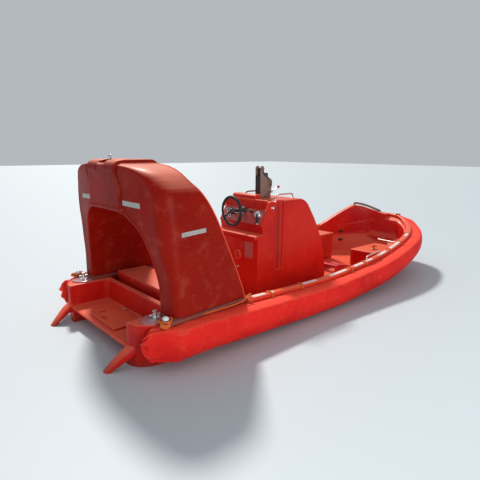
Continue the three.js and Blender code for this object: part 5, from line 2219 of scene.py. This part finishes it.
    def hatch(self) -> None:
        """The stern hatch with its grip slots and hinges."""
        z = 0.1773
        outline = corners([(0.062, -0.292), (0.4, -0.292), (0.4, 0.292), (0.062, 0.292)], 0.018, 4)
        plate = Form.slab(outline, "z", z, z + 0.022).rounded(0.004, 3, 50)
        for x0, x1, y0, y1 in ((0.15, 0.236, 0.236, 0.262), (0.11, 0.14, 0.02, 0.11)):
            slot = corners([(x0, y0), (x1, y0), (x1, y1), (x0, y1)], 0.012, 4)
            plate.cut(Form.slab(slot, "z", z + 0.01, z + 0.04))
        plate.piece("hatch_cover", Finish.HULL, "stern_hatch", body="hatch")
        for name, side in SIDES:
            y = side * 0.19
            knuckle = Form.turned([(0, 0), (0.008, 0), (0.008, 0.068), (0, 0.068)], (0.411, y - 0.034, 0.19),
                                  (0, 1, 0), 20)
            leaf = Form.block((0.408, y - 0.034, 0.1773), (0.448, y + 0.034, 0.185)).rounded(0.002, 2)
            screws = [Form.turned([(0, 0), (0.006, 0), (0.005, 0.0025), (0, 0.003)], (0.434, y + dy, 0.185),
                                  sides=16) for dy in (-0.02, 0.02)]
            knuckle.beside(leaf, *screws).piece(f"hinge_{name}", Finish.STEEL, f"hatch_hinge_{name}")

    def guards(self) -> None:
        """The rounded tongues that shield the jet."""
        for name, side in SIDES:
            rings = []
            for k in range(61):
                share = k / 60 * (len(self.guard_rows) - 1)
                low = min(int(share), len(self.guard_rows) - 2)
                t = share - low
                pairs = zip(self.guard_rows[low], self.guard_rows[low + 1])
                x, inner, outer, top, foot = (a + (b - a) * t for a, b in pairs)
                ring = []
                for turn in angles(36):
                    wide, tall = (copysign(abs(v) ** 0.6, v) for v in (cos(turn), sin(turn)))
                    ring.append((x, side * (inner + outer + (outer - inner) * wide) / 2,
                                 (top + foot + (top - foot) * tall) / 2))
                rings.append(ring)
            tongue = Form.loft(rings).moulded(*self.guard_skin)
            tongue.piece(f"guard_{name}", Finish.HULL, f"jet_guard_{name}", crease=Crease.SOFT)

    def rails(self) -> None:
        """The grab rails on the lip and across the bow."""
        trim = GunwaleTrim()
        for name, side, aft, front, height, radius, finish in self.lip_rails:
            span = front - aft
            wall = LINES.wall if side > 0 else LINES.heights
            spots = []
            for x, lift in ((aft, -0.002), (aft, height * 0.6), (aft + span * 0.06, height),
                            (aft + span * 0.5, height), (front - span * 0.06, height), (front, height * 0.6),
                            (front, -0.002)):
                spot, out = trim.spot_at(x, side)
                top = max(spot.z + LINES.lip_height, along_table(wall, spot.x))
                spots.append(Vector((spot.x, spot.y, top + lift)) + out * 0.004)
            rail = Form.tube(curve(spots, 8), radius, 16)
            rail.piece(f"lip_grab_{name}", finish, f"lip_rail_{name}")
        Form.tube(curve(self.bow_rail, 8), 0.014, 16).piece("bow_grab", Finish.RAIL, "bow_rail")

    def bow_details(self) -> None:
        """The hand holds on the port wall, the eye on the bow facet and the block on the lip."""
        eye = []
        for t in angles(24):
            eye.append((5.59 - 0.012 * cos(t), -0.385 + 0.02 * sin(t), 0.61 + 0.008 * cos(t)))
        Form.tube(eye, 0.006, 10, looped=True).piece("bow_eye", Finish.STEEL)
        holds = []
        for x, y, z in ((5.142, 0.634, 0.48), (5.056, 0.575, 0.33)):
            inboard = Vector((-0.45, -0.89, 0.0))
            ahead = Vector((0.89, -0.45, 0.0))
            at = Vector((x, y, z)) - inboard * 0.012
            path = [at - ahead * 0.035, at - ahead * 0.03 + inboard * 0.036,
                    at + ahead * 0.03 + inboard * 0.036, at + ahead * 0.035]
            holds.append(Form.tube(curve(path, 6), 0.011, 12))
            stem = [at + raised(h) + inboard * 0.012 for h in (-0.03, 0.0, 0.03)]
            holds.append(Form.tube(curve(stem, 3), 0.016, 12))
        Form.group(holds).piece("wall_holds", Finish.DARK_IRON)
        spot, out = GunwaleTrim().spot_at(5.742, -1)
        block = Form.block((-0.022, -0.04, 0), (0.022, 0.04, 0.022)).rounded(0.005, 2)
        block.placed(Matrix.Translation(spot + raised(LINES.lip_height - 0.001) + out * 0.004))
        block.piece("lip_block", Finish.ORANGE)

    def plain_nodes(self) -> None:
        """Dresses the frame's own nodes whose shapes stay."""
        for node, finish in (("engine_block", Finish.IRON), ("jet_tailpipe", Finish.ALLOY),
                             ("steering_nozzle", Finish.ALLOY), ("reverse_bucket", Finish.ALLOY),
                             ("intake_grille", Finish.STEEL)):
            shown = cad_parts[node]
            shown.data.materials.clear()
            shown.data.materials.append(material_of(finish))
            log.info("%s: frame node, %s", node, finish.name.lower())

    def build(self) -> None:
        """Builds and dresses the fittings."""
        self.bench()
        self.lockers()
        self.stretcher()
        self.painter()
        self.hatch()
        self.guards()
        self.rails()
        self.bow_details()
        for name, side in SIDES:
            self.bollard(name, side)
            self.light(name, side)
        self.plain_nodes()


@dataclass
class Setting:
    """Camera, floor and light."""

    eye: Triple = (-4.575, -4.191, 1.959)
    yaw: float = 48.65
    pitch: float = 11.59
    roll: float = 0.2
    lens: float = 32.31
    ambient: float = 0.58
    sun: tuple[Triple, float, float] = ((0.3, 0.72, 0.86), 3.4, 0.13)
    fill: tuple[Triple, Triple, float, float, Triple] = (
        (-3.5, -9.0, 2.2), (-0.5, 0.0, 0.3), 5.0, 260.0, (1.0, 0.95, 0.9))
    sun_colour: Triple = (1.0, 0.96, 0.9)
    sky: Triple = (0.78, 0.83, 0.88)
    sensor: float = 36.0
    ground: Triple = (0.5, 0.56, 0.6)
    ground_half: float = 60.0

    def camera(self) -> None:
        """The camera at the photograph's viewing angle."""
        yaw, pitch, roll = (radians(v) for v in (self.yaw, self.pitch, self.roll))
        ahead = Vector((cos(pitch) * cos(yaw), cos(pitch) * sin(yaw), -sin(pitch)))
        right = Vector((sin(yaw), -cos(yaw), 0))
        up = right.cross(ahead)
        level, plumb = (right * cos(roll) + up * sin(roll), up * cos(roll) - right * sin(roll))
        data = bpy.data.cameras.new("camera")
        data.lens, data.sensor_width = self.lens, self.sensor
        made = put("camera", data)
        turn = Matrix((level, plumb, -ahead)).transposed().to_4x4()
        made.matrix_world = Matrix.Translation(Vector(self.eye)) @ turn
        bpy.context.scene.camera = made

    def floor(self) -> None:
        """The plain floor on the waterline."""
        g = Graph("floor")
        material = g.done(Base_Color=self.ground, Roughness=0.6)
        mesh = bpy.data.meshes.new("floor")
        far = self.ground_half
        mesh.from_pydata([(-far, -far, 0), (far, -far, 0), (far, far, 0), (-far, far, 0)], [], [(0, 1, 2, 3)])
        mesh.materials.append(material)
        put("floor", mesh)

    def hang(self, data: bpy.types.Light, way: Vector) -> bpy.types.Object:
        """Hangs a lamp.

        Args:
            data: the lamp.
            way: where it shines.

        Returns:
            Its object.
        """
        made = put(data.name, data)
        made.rotation_mode = "QUATERNION"
        made.rotation_quaternion = way.to_track_quat("-Z", "Y")
        return made

    def light(self) -> None:
        """Soft lamps and a plain world."""
        world = bpy.data.worlds.new("world")
        bpy.context.scene.world = world
        world.use_nodes = True
        back = world.node_tree.nodes["Background"]
        back.inputs[0].default_value = (*self.sky, 1)
        back.inputs[1].default_value = self.ambient
        way, strength, spread = self.sun
        data = bpy.data.lights.new("sun", "SUN")
        data.energy, data.angle, data.color = strength, spread, self.sun_colour
        self.hang(data, -Vector(way))
        at, to, size, power, colour = self.fill
        data = bpy.data.lights.new("near_fill", "AREA")
        data.shape, data.size, data.energy, data.color = "DISK", size, power, colour
        self.hang(data, Vector(to) - Vector(at)).location = at

    def build(self) -> None:
        """Sets the scene."""
        bpy.context.scene.view_settings.view_transform = "Standard"
        self.camera()
        self.floor()
        self.light()


def main() -> None:
    """Builds every sub-assembly in order."""
    logging.basicConfig(level=logging.INFO, format="%(name)s %(message)s")
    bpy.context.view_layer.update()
    for part in (Setting(), Hull(), FenderCollar(), GunwaleTrim(), CanopyArch(), HelmStation(),
                 EngineHousing(), LiftingGear(), Fittings()):
        log.info("%s", type(part).__name__)
        part.build()
    bpy.context.view_layer.update()


if __name__ == "__main__":
    main()
